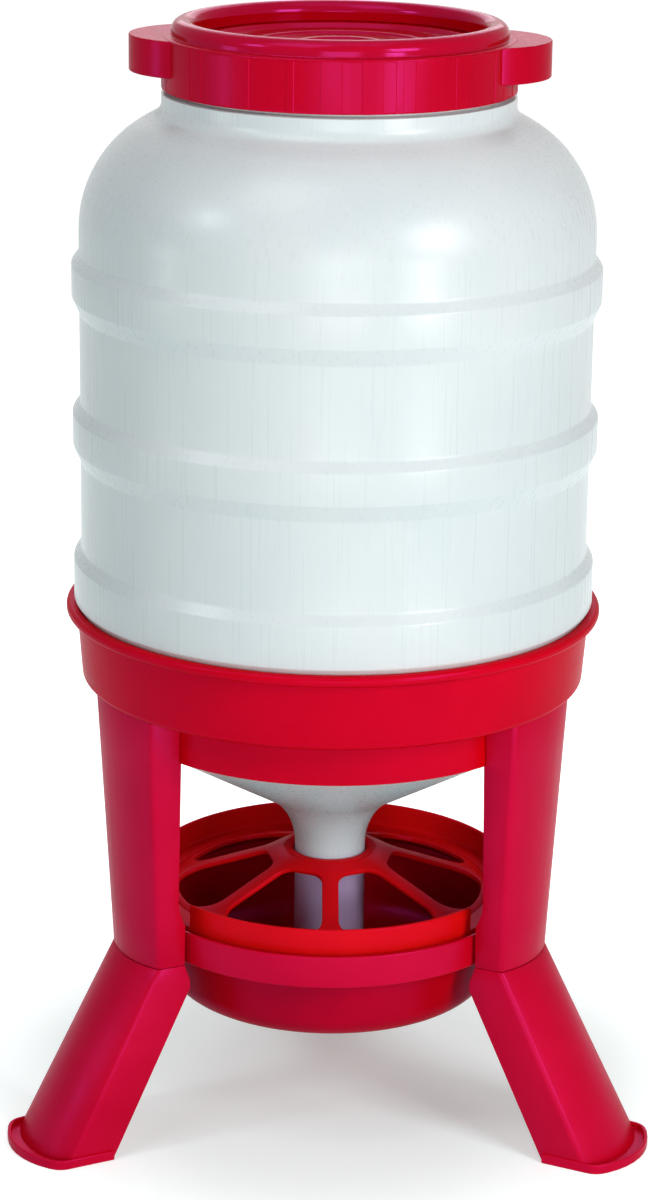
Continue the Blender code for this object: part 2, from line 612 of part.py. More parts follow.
def make_hopper(material):
    """The blow-moulded drum: threaded neck, round shoulder, three bands, cone and outlet tube."""
    wall_drop = HOPPER_WALL * sqrt(1 + CONE_SLOPE ** 2)
    body = BODY_RADIUS
    band = BODY_RADIUS + BAND_RAISE
    shoulder_slope = SHOULDER_HEIGHT / (BODY_RADIUS - COLLAR_RADIUS)
    shoulder_drop = HOPPER_WALL * sqrt(1 + shoulder_slope ** 2)
    collar_top = SCREW_SEAT_Z
    corners = [
        (NECK_RADIUS, NECK_TOP_Z),
        (NECK_RADIUS, collar_top + SLIDE_GAP),
        (COLLAR_RADIUS, collar_top),
        (COLLAR_RADIUS, COLLAR_Z, SHOULDER_NECK_FILLET),
        (body, BODY_TOP_Z, SHOULDER_RADIUS),
    ]
    for index in range(BANDS):
        top = BODY_TOP_Z - TOP_BAND_DROP - BAND_PITCH * index
        corners += [(body, top + BAND_TOP_FLANK), (band, top)]
        if index < BANDS - 1:
            corners += [(band, top - BAND_FLAT), (body, top - BAND_FLAT - BAND_BASE_FLANK)]
    spigot_top = HOPPER_SEAT_Z + SPIGOT_HEIGHT
    corners += [
        (band, spigot_top + SPIGOT_FLANK),
        (SPIGOT_RADIUS, spigot_top),
        (SPIGOT_RADIUS, HOPPER_SEAT_Z, SPIGOT_FILLET),
        (CONE_EDGE_RADIUS, HOPPER_SEAT_Z),
        (CONE_EDGE_RADIUS, cone_height(CONE_EDGE_RADIUS), CONE_FILLET),
        (OUTLET_RADIUS, cone_height(OUTLET_RADIUS), FLARE_RADIUS),
        (OUTLET_RADIUS, OUTLET_END_Z),
    ]
    bore = OUTLET_RADIUS - OUTLET_WALL
    inner_edge = CONE_EDGE_RADIUS - HOPPER_WALL
    inner_body = body - HOPPER_WALL
    inner_neck = NECK_RADIUS - NECK_WALL
    corners += [
        (bore, OUTLET_END_Z),
        (bore, cone_height(bore) + wall_drop, FLARE_RADIUS),
        (inner_edge, cone_height(inner_edge) + wall_drop, CONE_FILLET),
        (inner_edge, HOPPER_SEAT_Z + HOPPER_WALL),
        (SPIGOT_RADIUS - HOPPER_WALL, HOPPER_SEAT_Z + HOPPER_WALL),
        (SPIGOT_RADIUS - HOPPER_WALL, spigot_top),
        (inner_body, spigot_top + SPIGOT_FLANK),
        (inner_body, BODY_TOP_Z - shoulder_drop + HOPPER_WALL * shoulder_slope,
         SHOULDER_RADIUS - HOPPER_WALL),
        (inner_neck, BODY_TOP_Z - shoulder_drop + (body - inner_neck) * shoulder_slope,
         SHOULDER_NECK_FILLET),
        (inner_neck, NECK_TOP_Z),
    ]
    return turned("hopper", rounded_outline(corners), material)


def make_gasket(material):
    """The flat foam ring between the hopper's mouth and the cover disc."""
    outer = NECK_RADIUS
    inner = outer - GASKET_WIDTH
    top = GASKET_Z + GASKET_THICKNESS
    return turned("lid_gasket", rounded_outline([
        (outer, top), (outer, GASKET_Z), (inner, GASKET_Z), (inner, top)]), material)


def make_disc(material):
    """The cover disc: a sunk panel with raised round ridges and a spigot that centres it."""
    spigot_outer = NECK_RADIUS - max(NECK_WALL, GASKET_WIDTH) - SLIDE_GAP
    spigot_inner = spigot_outer - DISC_SPIGOT_WALL
    spigot_bottom = NECK_TOP_Z - DISC_SPIGOT_DEPTH
    panel_top = DISC_TOP_Z - DISC_PANEL_DROP
    panel_bottom = panel_top - DISC_THICKNESS
    slope = DISC_PANEL_DROP
    top_line = [(0.0, panel_top)]
    for ridge in sorted(DISC_RIDGES):
        for side in (-1, 1):
            middle = ridge + side * DISC_RIDGE_WIDTH / 2
            step = [(middle - side * DISC_RIDGE_RAISE / 2, panel_top + DISC_RIDGE_RAISE),
                    (middle + side * DISC_RIDGE_RAISE / 2, panel_top)]
            top_line += step if side > 0 else list(reversed(step))
    top_line += [(DISC_PANEL_RADIUS, panel_top), (DISC_PANEL_RADIUS + slope, DISC_TOP_Z)]
    return turned("lid_disc", rounded_outline(top_line + [
        (DISC_RADIUS, DISC_TOP_Z),
        (DISC_RADIUS, DISC_Z),
        (spigot_outer, DISC_Z),
        (spigot_outer, spigot_bottom),
        (spigot_inner, spigot_bottom),
        (spigot_inner, panel_bottom),
        (0.0, panel_bottom),
    ], closed=False), material, closed=False)


def make_screw_ring(material):
    """The turning ring: a plain skirt, a hollow roll on top and a round ear on each side."""
    outer = SCREW_RING_RADIUS
    skirt_bottom = SCREW_RING_SHOULDER_Z - SCREW_RING_SKIRT
    roll_outer = outer - SHOULDER_WIDTH
    roll_inner = roll_outer - ROLL_WIDTH
    crest = SCREW_RING_SHOULDER_Z + ROLL_RISE
    round_over = ROLL_WIDTH / 2 - SEAT_GAP
    wall = SCREW_RING_WALL
    ring = turned("lid_ring", rounded_outline([
        (outer, SCREW_RING_SHOULDER_Z, SCREW_RING_CORNER),
        (outer, skirt_bottom),
        (SCREW_RING_INNER_RADIUS, skirt_bottom),
        (SCREW_RING_INNER_RADIUS, SCREW_RING_Z),
        (roll_outer - wall, SCREW_RING_Z),
        (roll_outer - wall, crest - wall, round_over - wall),
        (roll_inner + wall, crest - wall, round_over - wall),
        (roll_inner + wall, SCREW_RING_Z),
        (roll_inner, SCREW_RING_Z),
        (roll_inner, crest, round_over),
        (roll_outer, crest, round_over),
        (roll_outer, SCREW_RING_SHOULDER_Z),
    ]), material)
    for side in (-1, 1):
        add_ear(ring, side, material)
    return ring


def add_ear(ring, side, material):
    """A round ear, open underneath, with ribs across its hollow."""
    label = "right" if side > 0 else "left"
    top = SCREW_RING_SHOULDER_Z - EAR_DROP
    bottom = top - EAR_THICKNESS
    root = SCREW_RING_RADIUS - SCREW_RING_WALL / 2
    outline = ear_outline(EAR_RADIUS, root)
    edge = ear_outline(EAR_RADIUS - EAR_EDGE, root)
    sections = [[(side * p.x, p.y, height) for p in line] for line, height in
                ((outline, bottom), (outline, top - EAR_EDGE), (edge, top))]
    ear = lofted("ear_" + label, sections, material)
    hollow = [Vector((side * p.x, p.y)) for p in ear_outline(EAR_RADIUS - EAR_WALL, SCREW_RING_RADIUS)]
    pocket = extruded("pocket_" + label, hollow, bottom - EAR_WALL, top - EAR_WALL, material)
    combine(ear, pocket, "DIFFERENCE")
    for number, offset in enumerate(EAR_RIB_OFFSETS):
        rib = extruded("rib_%s_%d" % (label, number + 1), rib_outline(side, offset, root),
                       bottom + EAR_WALL, top - EAR_WALL / 2, material)
        combine(ear, rib, "UNION")
    combine(ring, ear, "UNION")


def ear_outline(radius, root):
    """The part of an ear's circle outside the skirt, closed along the skirt's own curve."""
    half_across = sqrt(root ** 2 - ear_crossing(radius, root) ** 2)
    sweep = atan2(half_across, ear_crossing(radius, root) - EAR_MIDDLE)
    root_sweep = atan2(half_across, ear_crossing(radius, root))
    turns = [sweep * (2 * i / EAR_STEPS - 1) for i in range(EAR_STEPS + 1)]
    points = [Vector((EAR_MIDDLE + radius * cos(turn), radius * sin(turn))) for turn in turns]
    for i in range(1, EAR_ROOT_STEPS):
        turn = root_sweep * (1 - 2 * i / EAR_ROOT_STEPS)
        points.append(Vector((root * cos(turn), root * sin(turn))))
    return points


def ear_crossing(radius, root):
    """How far out an ear's circle crosses a circle about the feeder's centre line."""
    return (root ** 2 - radius ** 2 + EAR_MIDDLE ** 2) / (2 * EAR_MIDDLE)


def rib_outline(side, offset, root):
    """A thin rib from the skirt to the middle of the ear's rim."""
    half = EAR_WALL / 2
    tip = EAR_MIDDLE + across_from(EAR_RADIUS - half, abs(offset) + half)
    start = across_from(root, abs(offset))
    return [Vector((side * x, offset + y)) for x, y in
            ((start, -half), (tip, -half), (tip, half), (start, half))]


def build():
    clear_scene()
    stand_red = make_material("stand_red", RED, 0.32)
    bowl_red = make_material("bowl_red", DARK_RED, 0.35)
    grille_red = make_material("grille_red", ORANGE_RED, 0.34)
    lid_red = make_material("lid_red", RED, 0.30)
    hopper_white = make_material("hopper_white", MILKY_WHITE, 0.38)
    gasket_black = make_material("gasket_black", BLACK_FOAM, 0.80)

    make_stand_ring(stand_red)
    for leg in LEG_TURNS:
        make_upright(leg, stand_red)
        make_foot(leg, stand_red)
    make_bowl_ring(stand_red)
    make_bowl(bowl_red)
    make_grille(grille_red)
    make_hopper(hopper_white)
    make_gasket(gasket_black)
    make_disc(lid_red)
    make_screw_ring(lid_red)


build()
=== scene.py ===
"""Poultry feeder: the finished look of each moulded piece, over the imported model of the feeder.

Sizes are in metres, +Z is up, and the front of the feeder faces -Y. Turned pieces are drawn as a
half profile of (out, up) points and spun about the feeder's centre line. Leg pieces are shaped
pointing along +X and then swung round to their own places.
"""

import bmesh
import bpy
import random
from math import acos, atan2, cos, hypot, pi, radians, sin, sqrt, tan
from mathutils import Matrix, Vector


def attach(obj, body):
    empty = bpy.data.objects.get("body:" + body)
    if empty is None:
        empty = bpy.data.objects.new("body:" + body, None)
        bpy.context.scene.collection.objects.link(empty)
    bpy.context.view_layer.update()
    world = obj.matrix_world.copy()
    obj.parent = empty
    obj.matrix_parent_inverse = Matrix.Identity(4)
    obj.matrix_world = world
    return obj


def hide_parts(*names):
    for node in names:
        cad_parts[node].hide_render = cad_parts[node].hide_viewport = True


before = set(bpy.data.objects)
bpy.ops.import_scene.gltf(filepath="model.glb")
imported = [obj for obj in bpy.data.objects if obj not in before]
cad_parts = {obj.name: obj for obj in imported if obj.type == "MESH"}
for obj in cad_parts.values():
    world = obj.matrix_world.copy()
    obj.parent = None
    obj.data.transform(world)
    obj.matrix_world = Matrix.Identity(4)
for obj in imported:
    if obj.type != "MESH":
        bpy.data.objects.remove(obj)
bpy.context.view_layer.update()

# Camera, at the height and distance the photograph was taken from
CAMERA_DISTANCE = 2.35
CAMERA_HEIGHT = 1.0805
CAMERA_TURN = radians(-0.65)
CAMERA_PITCH = radians(16.748)
CAMERA_ROLL = radians(0.7325)
LENS_MM = 103.29
FILM_MM = 36.0

# Lamps, floor and background
LAMP_DISTANCE = 2.4
LAMP_AIM_Z = 0.42
FLOOR_SIZE = 40.0
# The floor is tinted cyan, a painted tint that cancels the red light the feeder bounces into its
# shadow.
FLOOR_COLOUR = (0.76, 0.885, 0.875, 1)
SHADOW_GLOW = 0.34
SHADOW_RADIUS = 0.14
OPEN_FLOOR_RADIUS = 0.42
WORLD_LIGHT = 0.06
BACKGROUND_WHITE = 1.0

# How finely the pieces are stepped, smoothed, merged and picked
ROUND_STEPS = 168
FILLET_STEP = radians(11)
WIDE_FILLET_STEP = radians(5)
WIDE_FILLET = 0.020
SMOOTH_ANGLE = radians(30)
BEVEL_ANGLE = radians(40)
CREASE_ANGLE = radians(50)
MERGE = 0.000002
FACING = 0.9

# Legs
LEG_TURNS = {"left": radians(-60), "right": radians(60), "back": radians(180)}
LEG_WALL = 0.0030
LEG_CORNER = 0.0042
CORNER_SEGMENTS = 6
SIDE_FLARE = radians(3.0)
BOW_SHARES = (-0.8, -0.6, -0.4, -0.2, 0.0, 0.2, 0.4, 0.6, 0.8)
EDGE_ROUND = 0.0005
CREASE_Z = 0.1337
LEDGE_Z = 0.3210
PLUG_GAP = 0.0005
SEAT_GAP = 0.0003
UPRIGHT_FOOT = (0.1676, 0.0351, 0.0088)
UPRIGHT_HEAD = (0.1746, 0.0417, 0.0065)
FOOT_SOLE = (0.2467, 0.0398, 0.0135)
UPRIGHT_FOOT_INNER = 0.1389
UPRIGHT_INNER = 0.1444
SHOULDER_START = 0.0300
SHOULDER_RISE = 0.0200
SHOULDER_STEPS = 6
CUT_BACK_FROM_Z = 0.2872
CUT_BACK_Z = 0.2884
CUT_BACK_OUT = 0.1460
KNEE_Z = 0.1187
KNEE_OUT = 0.1339
KNEE_ROUNDING = 0.0080
KNEE_SHARES = (-1, -0.25, 0.5)
SOLE_INNER = 0.1982
SOLE_START_Z = 0.0015
PLUG_HEIGHT = 0.0125
PLUG_WALL = 0.0025
FLANGE_FLOOR = 0.0030
FLANGE_HEIGHT = 0.0070
FLANGE_LIP = 0.0022
FLANGE_OUT = 0.2552
FLANGE_HALF_WIDTH = 0.0404
FLANGE_BULGE = 0.0155
FLANGE_CORNER = 0.0085
FLANGE_EDGE = 0.0009

# Top ring of the stand
RING_BASE = 0.1782
RING_TOP = 0.1819
RING_TOP_Z = 0.3762
RING_WALL = 0.0030
RING_LEDGE = 0.0028
LIP_OUT = 0.1894
LIP_DEPTH = 0.0074
LIP_ROUNDING = 0.0032
SKIRT_OUT = 0.1510
SKIRT_DROP = 0.0343
TONGUE_DROP = 0.0220
TONGUE_OUT = 0.1516
RING_HEAD_FILLET = 0.0060
RING_FOOT_FILLET = 0.0042
LIP_ROOT_FILLET = 0.0012
LIP_INNER_FILLET = 0.0014
SKIRT_ROOT_FILLET = 0.0010
SKIRT_EDGE = 0.0009

# Bowl and the ring that carries it
BOWL_RADIUS = 0.1271
BOWL_TAPER = 0.0095
BOWL_WALL = 0.0028
BOWL_FLOOR_Z = 0.0840
BOWL_FLOOR_FILLET = 0.0210
BOWL_RIM = 0.1366
BOWL_RIM_Z = 0.1438
BOWL_RIM_DEPTH = 0.0028
BOWL_RIM_ROOT = 0.0006
BOWL_RIM_EDGE = 0.0009
BOWL_MOUTH_FILLET = 0.0020
SPREADER = 0.0360
SPREADER_RISE = 0.0110
SPREADER_FILLET = 0.0120
CARRIER = 0.1406
CARRIER_WALL = 0.0030
CARRIER_TOP_Z = 0.1571
CARRIER_LEDGE_Z = 0.1435
CARRIER_LEDGE = 0.1281
CARRIER_DRAFT = 0.0010
CARRIER_EDGE = 0.0011
CARRIER_INNER_EDGE = 0.0008
LUG_HEIGHT = 0.0080

# Grille
SPOKES = 7
GRILLE_RADIUS = 0.1324
GRILLE_Z = 0.1469
GRILLE_TOP_Z = 0.1740
GRILLE_WALL = 0.0030
GRILLE_WEB = 0.0035
GRILLE_LEDGE = 0.1164
GRILLE_LEDGE_Z = 0.1570
GRILLE_TOP_EDGE = 0.0014
GRILLE_FOOT_EDGE = 0.0009
GRILLE_LEDGE_FILLET = 0.0016
HUB = 0.0330
HUB_BORE = 0.0265
HUB_Z = 0.1865
HUB_DEPTH = 0.0085
HUB_TOP_EDGE = 0.0015
HUB_FOOT_EDGE = 0.0008
SPOKE_WIDTH = 0.0118
EYE_START = 0.0470
EYE_END = 0.1110
EYE_INNER_FILLET = 0.0110
EYE_OUTER_FILLET = 0.0165
EYE_ARC = (-0.45, -0.3, -0.15, 0.0, 0.15, 0.3, 0.45)
EYE_EDGE = 0.0011
SECTOR_MERGE = 0.00005
NOTCH_HALF_WIDTH = 0.0265
NOTCH_DEPTH = 0.0052

# Hopper
BODY = 0.1786
HOPPER_WALL = 0.0028
SEAT_Z = 0.3241
BODY_TOP_Z = 0.6911
SPIGOT = 0.1734
SPIGOT_HEIGHT = 0.0403
SPIGOT_FLANK = 0.0153
SPIGOT_FILLET = 0.0080
SEAT_FILLET = 0.0060
SEAT_INNER_FILLET = 0.0030
SEAT_EDGE = 0.0010
CONE_SLOPE = 0.570
CONE_EDGE = 0.1465
CONE_DROP = 0.0387
CONE_FILLET = 0.0080
OUTLET = 0.0255
OUTLET_WALL = 0.0025
OUTLET_END_Z = 0.1158
OUTLET_EDGE = 0.0007
FLARE = 0.0450
BANDS = 3
BAND_RAISE = 0.0052
BAND_FLAT = 0.0222
BAND_TOP_FLANK = 0.0074
BAND_BASE_FLANK = 0.0118
BAND_PITCH = 0.1045
TOP_BAND_DROP = 0.0729
BAND_FILLET = 0.0022
BAND_ROOT_FILLET = 0.0040
SHOULDER_FILLET = 0.0850
NECK_FILLET = 0.0105
COLLAR = 0.1216
COLLAR_Z = 0.7228
COLLAR_EDGE = 0.0008
NECK = 0.1160
NECK_WALL = 0.0040
NECK_SEAT_Z = 0.7353
NECK_TOP_Z = 0.7644
NECK_EDGE = 0.0009
NECK_STEP = 0.0010
NECK_STEP_FILLET = 0.0006

# Lid
THREAD_LEAD = 0.0120
THREAD_DEPTH = 0.0015
THREAD_WIDTH = 0.0034
THREAD_CREST = 0.0016
THREAD_SINK = 0.0005
NECK_THREAD_Z = 0.7395
NECK_THREAD_TURNS = 1.4
LID_THREAD_TURNS = 1.1
LID_RADIUS = 0.1216
LID_WALL = 0.0030
LID_Z = 0.7711
LID_SHOULDER_Z = 0.7741
LID_SKIRT = 0.0359
LID_CORNER = 0.0018
LID_EDGE = 0.0008
PANEL_SEED = 11
PANEL_WIDTHS = (2, 3, 4, 6)
PANEL_GAPS = (1, 2, 3, 5)
PANEL_DEPTH = 0.0003
PANEL_EDGE = 0.0004
UPRIGHT_FACING = 0.05
ROLL_OUT = 0.1150
ROLL_IN = 0.0990
ROLL_RISE = 0.0108
ROLL_LAP = 0.0008
ROLL_LAP_DROP = 0.0004
ROLL_ROOT_FILLET = 0.0006
EAR_REACH = 0.0226
EAR_RADIUS = 0.0532
EAR_DEPTH = 0.0250
EAR_DROP = 0.0003
EAR_WALL = 0.0030
EAR_EDGE = 0.0010
EAR_RIBS = (-0.0160, 0.0160)
EAR_STEPS = 128
LID_REST_TURN = radians(-3.7)
GASKET_Z = 0.7647
GASKET_WIDTH = 0.0060
GASKET_DEPTH = 0.0028
GASKET_EDGE = 0.0009
DISC_Z = 0.7678
DISC_TOP_Z = 0.7708
DISC_RADIUS = 0.1178
DISC_WALL = 0.0030
DISC_SPIGOT = 0.1090
DISC_SPIGOT_WALL = 0.0025
DISC_SPIGOT_REACH = 0.0070
DISC_SPIGOT_EDGE = 0.0006
DISC_EDGE = 0.0008
PANEL_RADIUS = 0.0900
PANEL_DROP = 0.0032
PANEL_FILLET = 0.0015
RIDGES = (0.0310, 0.0620)
RIDGE_WIDTH = 0.0080
RIDGE_RAISE = 0.0020
RIDGE_FILLET = 0.0012

# Finishes
WHITE_SHEEN = (1.0, 1.0, 1.0, 1.0)
# The reds have a very low specular level, which keeps whitish haze off their edges, and a
# highlight tint far above 1 makes up for it.
PINK_SHEEN = (20.0, 2.2, 17.6, 1.0)
# Noise is scaled along X, Y and Z. A high scale along Z alone draws level lines, and a low one
# draws upright lines.
EVEN_GRAIN = (1, 1, 1)
WALL_LINES = (5.0, 5.0, 600.0)
LEG_LINES = (160.0, 160.0, 5.0)
DRUM_SCRATCHES = (420, 420, 7)
DRUM_CLOUDS = (1, 1, 0.5)
# The painted shade fades in over this depth under the cone's top edge, and on the tube from just
# over the hub's height to just under it.
CONE_SHADE_DEPTH = 0.015
TUBE_SHADE_TOP = 0.004
TUBE_SHADE_FOOT = -0.012


# Drawing and spinning

def fillet(before, corner, after, radius):
    """Points that round a corner of a profile."""
    corner = Vector(corner)
    back = (Vector(before) - corner).normalized()
    ahead = (Vector(after) - corner).normalized()
    between = acos(max(-1.0, min(1.0, back.dot(ahead))))
    sweep = pi - between
    if sweep < radians(1):
        return [corner]
    centre = corner + (back + ahead).normalized() * (radius / sin(between / 2))
    first = corner + back * (radius / tan(between / 2)) - centre
    last = corner + ahead * (radius / tan(between / 2)) - centre
    start = atan2(first.y, first.x)
    turn = atan2(first.x * last.y - first.y * last.x, first.dot(last))
    steps = max(2, round(sweep / (WIDE_FILLET_STEP if radius > WIDE_FILLET else FILLET_STEP)))
    return [centre + Vector((cos(start + turn * i / steps), sin(start + turn * i / steps))) * radius
            for i in range(steps + 1)]


def rounded(corners, closed=True):
    """A profile through corners given as (out, up) or (out, up, fillet radius)."""
    points = []
    for index, corner in enumerate(corners):
        at_end = not closed and index in (0, len(corners) - 1)
        if len(corner) < 3 or at_end:
            points.append(Vector(corner[:2]))
        else:
            after = corners[(index + 1) % len(corners)]
            points += fillet(corners[index - 1][:2], corner[:2], after[:2], corner[2])
    return points


def start_piece(name):
    piece = bpy.context.active_object
    piece.name = name
    piece.data.name = name
    return piece


def draw_line(name, points, closed):
    """Draws a line through points by extruding one point to the next, and stays in edit mode."""
    bpy.ops.object.select_all(action="DESELECT")
    bpy.ops.mesh.primitive_plane_add(size=MERGE, location=(0, 0, 0))
    piece = start_piece(name)
    bpy.ops.object.mode_set(mode="EDIT")
    bpy.ops.mesh.select_mode(type="VERT")
    bpy.ops.mesh.select_all(action="SELECT")
    bpy.ops.mesh.merge(type="CENTER")
    bpy.ops.transform.translate(value=points[0])
    for here, there in zip(points, points[1:]):
        bpy.ops.mesh.extrude_region_move(TRANSFORM_OT_translate={"value": there - here})
    if closed:
        select_ends(piece)
        bpy.ops.mesh.edge_face_add()
    bpy.ops.mesh.select_all(action="SELECT")
    return piece


def select_ends(piece):
    """Selects the two loose ends of a drawn line."""
    bpy.ops.mesh.select_mode(type="VERT")
    bpy.ops.mesh.select_all(action="DESELECT")
    drawn = bmesh.from_edit_mesh(piece.data)
    for point in drawn.verts:
        point.select = len(point.link_edges) == 1
    drawn.select_flush_mode()
    bmesh.update_edit_mesh(piece.data)


def tidy(piece, smooth_angle=SMOOTH_ANGLE):
    """Leaves edit mode with doubles merged, faces turned outward and soft edges smoothed."""
    bpy.ops.mesh.select_all(action="SELECT")
    bpy.ops.mesh.remove_doubles(threshold=MERGE)
    bpy.ops.mesh.normals_make_consistent(inside=False)
    bpy.ops.mesh.select_all(action="DESELECT")
    bpy.ops.object.mode_set(mode="OBJECT")
    smooth(piece, smooth_angle)
    return piece


def pick(piece):
    """Makes one object the only selected one."""
    bpy.ops.object.select_all(action="DESELECT")
    piece.select_set(True)
    bpy.context.view_layer.objects.active = piece


def smooth(piece, angle=SMOOTH_ANGLE):
    pick(piece)
    bpy.ops.object.shade_smooth_by_angle(angle=angle)


def spun(name, profile, closed=True, smooth_angle=SMOOTH_ANGLE):
    """Spins a half profile round the feeder's centre line."""
    piece = draw_line(name, [Vector((p.x, 0, p.y)) for p in profile], closed)
    bpy.ops.mesh.spin(steps=ROUND_STEPS, angle=2 * pi, center=(0, 0, 0), axis=(0, 0, 1))
    return tidy(piece, smooth_angle)


def block(name, outline, low, high):
    """Raises a flat outline from one height to another."""
    piece = draw_line(name, [Vector((p.x, p.y, low)) for p in outline], closed=True)
    bpy.ops.mesh.edge_face_add()
    bpy.ops.mesh.extrude_region_move(TRANSFORM_OT_translate={"value": (0, 0, high - low)})
    return tidy(piece)


def apply_modifier(piece, kind, **settings):
    pick(piece)
    modifier = piece.modifiers.new(kind.lower(), kind)
    for setting, value in settings.items():
        setattr(modifier, setting, value)
    bpy.ops.object.modifier_apply(modifier=modifier.name)


def cut(piece, cutter):
    """Cuts one shape out of another and takes the cutter away."""
    apply_modifier(piece, "BOOLEAN", operation="DIFFERENCE", solver="EXACT", object=cutter)
    bpy.data.objects.remove(cutter, do_unlink=True)


def join(name, pieces):
    bpy.ops.object.select_all(action="DESELECT")
    for piece in pieces:
        piece.select_set(True)
    bpy.context.view_layer.objects.active = pieces[0]
    bpy.ops.object.join()
    return start_piece(name)


def round_edges(piece, width, segments=2, angle=BEVEL_ANGLE):
    apply_modifier(piece, "BEVEL", width=width, segments=segments, limit_method="ANGLE",
                   angle_limit=angle, use_clamp_overlap=False)
    smooth(piece)


def swing(piece, turn):
    """Turns a piece about the feeder's centre line and sets the turn into its mesh."""
    pick(piece)
    piece.rotation_euler.z = turn
    bpy.ops.object.transform_apply(location=True, rotation=True, scale=True)


def copy_of(piece, name):
    pick(piece)
    bpy.ops.object.duplicate(linked=False)
    return start_piece(name)


def select_points(piece, test):
    """In edit mode, selects the points that a test of their place picks."""
    bpy.ops.mesh.select_mode(type="VERT")
    drawn = bmesh.from_edit_mesh(piece.data)
    for point in drawn.verts:
        point.select = test(point.co)
    drawn.select_flush_mode()
    bmesh.update_edit_mesh(piece.data)


def delete_faces(piece, test):
    bpy.ops.mesh.select_mode(type="FACE")
    drawn = bmesh.from_edit_mesh(piece.data)
    for face in drawn.faces:
        face.select = test(face)
    bmesh.update_edit_mesh(piece.data)
    bpy.ops.mesh.delete(type="FACE")


def slice_at(place, direction):
    bpy.ops.mesh.select_all(action="SELECT")
    bpy.ops.mesh.bisect(plane_co=place, plane_no=direction)


# Making the leg pieces

def near(value, target):
    return abs(value - target) < EDGE_ROUND / 5


def bow(share, half_width, bulge):
    """How far a bowed face stands out at a share of its half width."""
    radius = (half_width ** 2 + bulge ** 2) / (2 * bulge)
    return sqrt(radius ** 2 - (half_width * share) ** 2) - (radius - bulge)


def leg_shape(low_z, low, high_z, high, z):
    share = (z - low_z) / (high_z - low_z)
    return [a + (b - a) * share for a, b in zip(low, high)]


def bowed_box(name, base_z, base, top_z, top, inner):
    """A box with a bowed outer face, tapering from one level's shape to the other's."""
    crown, half_width, bulge = base
    corner = crown - bulge
    bpy.ops.object.select_all(action="DESELECT")
    bpy.ops.mesh.primitive_cube_add(size=1.0, location=(0, 0, 0))
    piece = start_piece(name)
    bpy.ops.object.mode_set(mode="EDIT")
    bpy.ops.mesh.select_all(action="SELECT")
    bpy.ops.transform.resize(value=(corner - inner, 2 * half_width, top_z - base_z))
    bpy.ops.transform.translate(value=((corner + inner) / 2, 0, (top_z + base_z) / 2))
    for share in BOW_SHARES:
        slice_at((0, share * half_width, 0), (0, 1, 0))
    for level_z, (crown, half_width, bulge) in ((base_z, base), (top_z, top)):
        for share in (-1.0,) + BOW_SHARES + (1.0,):
            across = share * base[1]
            out = crown - bulge + (bow(share, half_width, bulge) if abs(share) < 1 else 0.0)
            select_points(piece, lambda co: near(co.x, corner) and near(co.y, across)
                          and near(co.z, level_z))
            aside = across * (half_width / base[1] - 1)
            bpy.ops.transform.translate(value=(out - corner, aside, 0))
        flared = half_width + (crown - bulge - inner) * tan(SIDE_FLARE)
        for side in (-1, 1):
            select_points(piece, lambda co: near(co.x, inner) and near(co.y, side * base[1])
                          and near(co.z, level_z))
            bpy.ops.transform.translate(value=(0, side * (flared - base[1]), 0))
    return piece


def bevel_corners(piece, low_z, low, high_z, high, radius):
    """Rounds the two upright corners of a bowed box."""
    bpy.ops.mesh.select_mode(type="EDGE")
    drawn = bmesh.from_edit_mesh(piece.data)
    for edge in drawn.edges:
        edge.select = all(on_corner(point.co, low_z, low, high_z, high) for point in edge.verts)
    bmesh.update_edit_mesh(piece.data)
    half_width, bulge = low[1:]
    turn = pi / 2 - SIDE_FLARE - atan2(bulge, half_width)
    bpy.ops.mesh.bevel(offset=radius * tan(turn / 2), segments=CORNER_SEGMENTS, affect="EDGES")


def on_corner(place, low_z, low, high_z, high):
    crown, half_width, bulge = leg_shape(low_z, low, high_z, high, place.z)
    return abs(abs(place.y) - half_width) < EDGE_ROUND and abs(place.x - crown + bulge) < EDGE_ROUND


def channel(name, base_z, base, top_z, top, inner_line, wall, corner):
    """A tapering channel, open toward the feeder's centre, whose inner edge follows a line."""
    inner = min(out for height, out in inner_line)
    piece = bowed_box(name, base_z, base, top_z, top, inner)
    for height, out in inner_line[1:-1]:
        slice_at((0, 0, height), (0, 0, 1))
    delete_faces(piece, lambda face: abs(face.normal.z) > FACING or face.normal.x < -FACING)
    for height, out in inner_line:
        select_points(piece, lambda co: near(co.z, height) and near(co.x, inner))
        bpy.ops.transform.translate(value=(out - inner, 0, 0))
        for side in (-1, 1):
            select_points(piece, lambda co: near(co.z, height) and near(co.x, out)
                          and co.y * side > 0)
            bpy.ops.transform.translate(value=(0, -side * (out - inner) * tan(SIDE_FLARE), 0))
    bevel_corners(piece, base_z, base, top_z, top, corner)
    tidy(piece)
    apply_modifier(piece, "SOLIDIFY", thickness=wall, offset=-1.0, use_even_offset=True)
    return piece


def inset_shape(shape, amount):
    crown, half_width, bulge = shape
    return crown - amount, half_width - amount, bulge


def make_upright():
    shoulder_z = CREASE_Z + SHOULDER_START
    line = [(CREASE_Z + SEAT_GAP, UPRIGHT_FOOT_INNER)]
    for step in range(SHOULDER_STEPS + 1):
        share = step / SHOULDER_STEPS
        out = UPRIGHT_FOOT_INNER + (UPRIGHT_INNER - UPRIGHT_FOOT_INNER) * sin(share * pi / 2)
        line.append((shoulder_z + SHOULDER_RISE * share, out))
    top_z = LEDGE_Z - 2 * SEAT_GAP
    line += [(CUT_BACK_FROM_Z, UPRIGHT_INNER), (CUT_BACK_Z, CUT_BACK_OUT), (top_z, CUT_BACK_OUT)]
    upright = channel("upright", CREASE_Z + SEAT_GAP, UPRIGHT_FOOT, top_z, UPRIGHT_HEAD, line,
                      LEG_WALL, LEG_CORNER)
    round_edges(upright, EDGE_ROUND)
    return upright


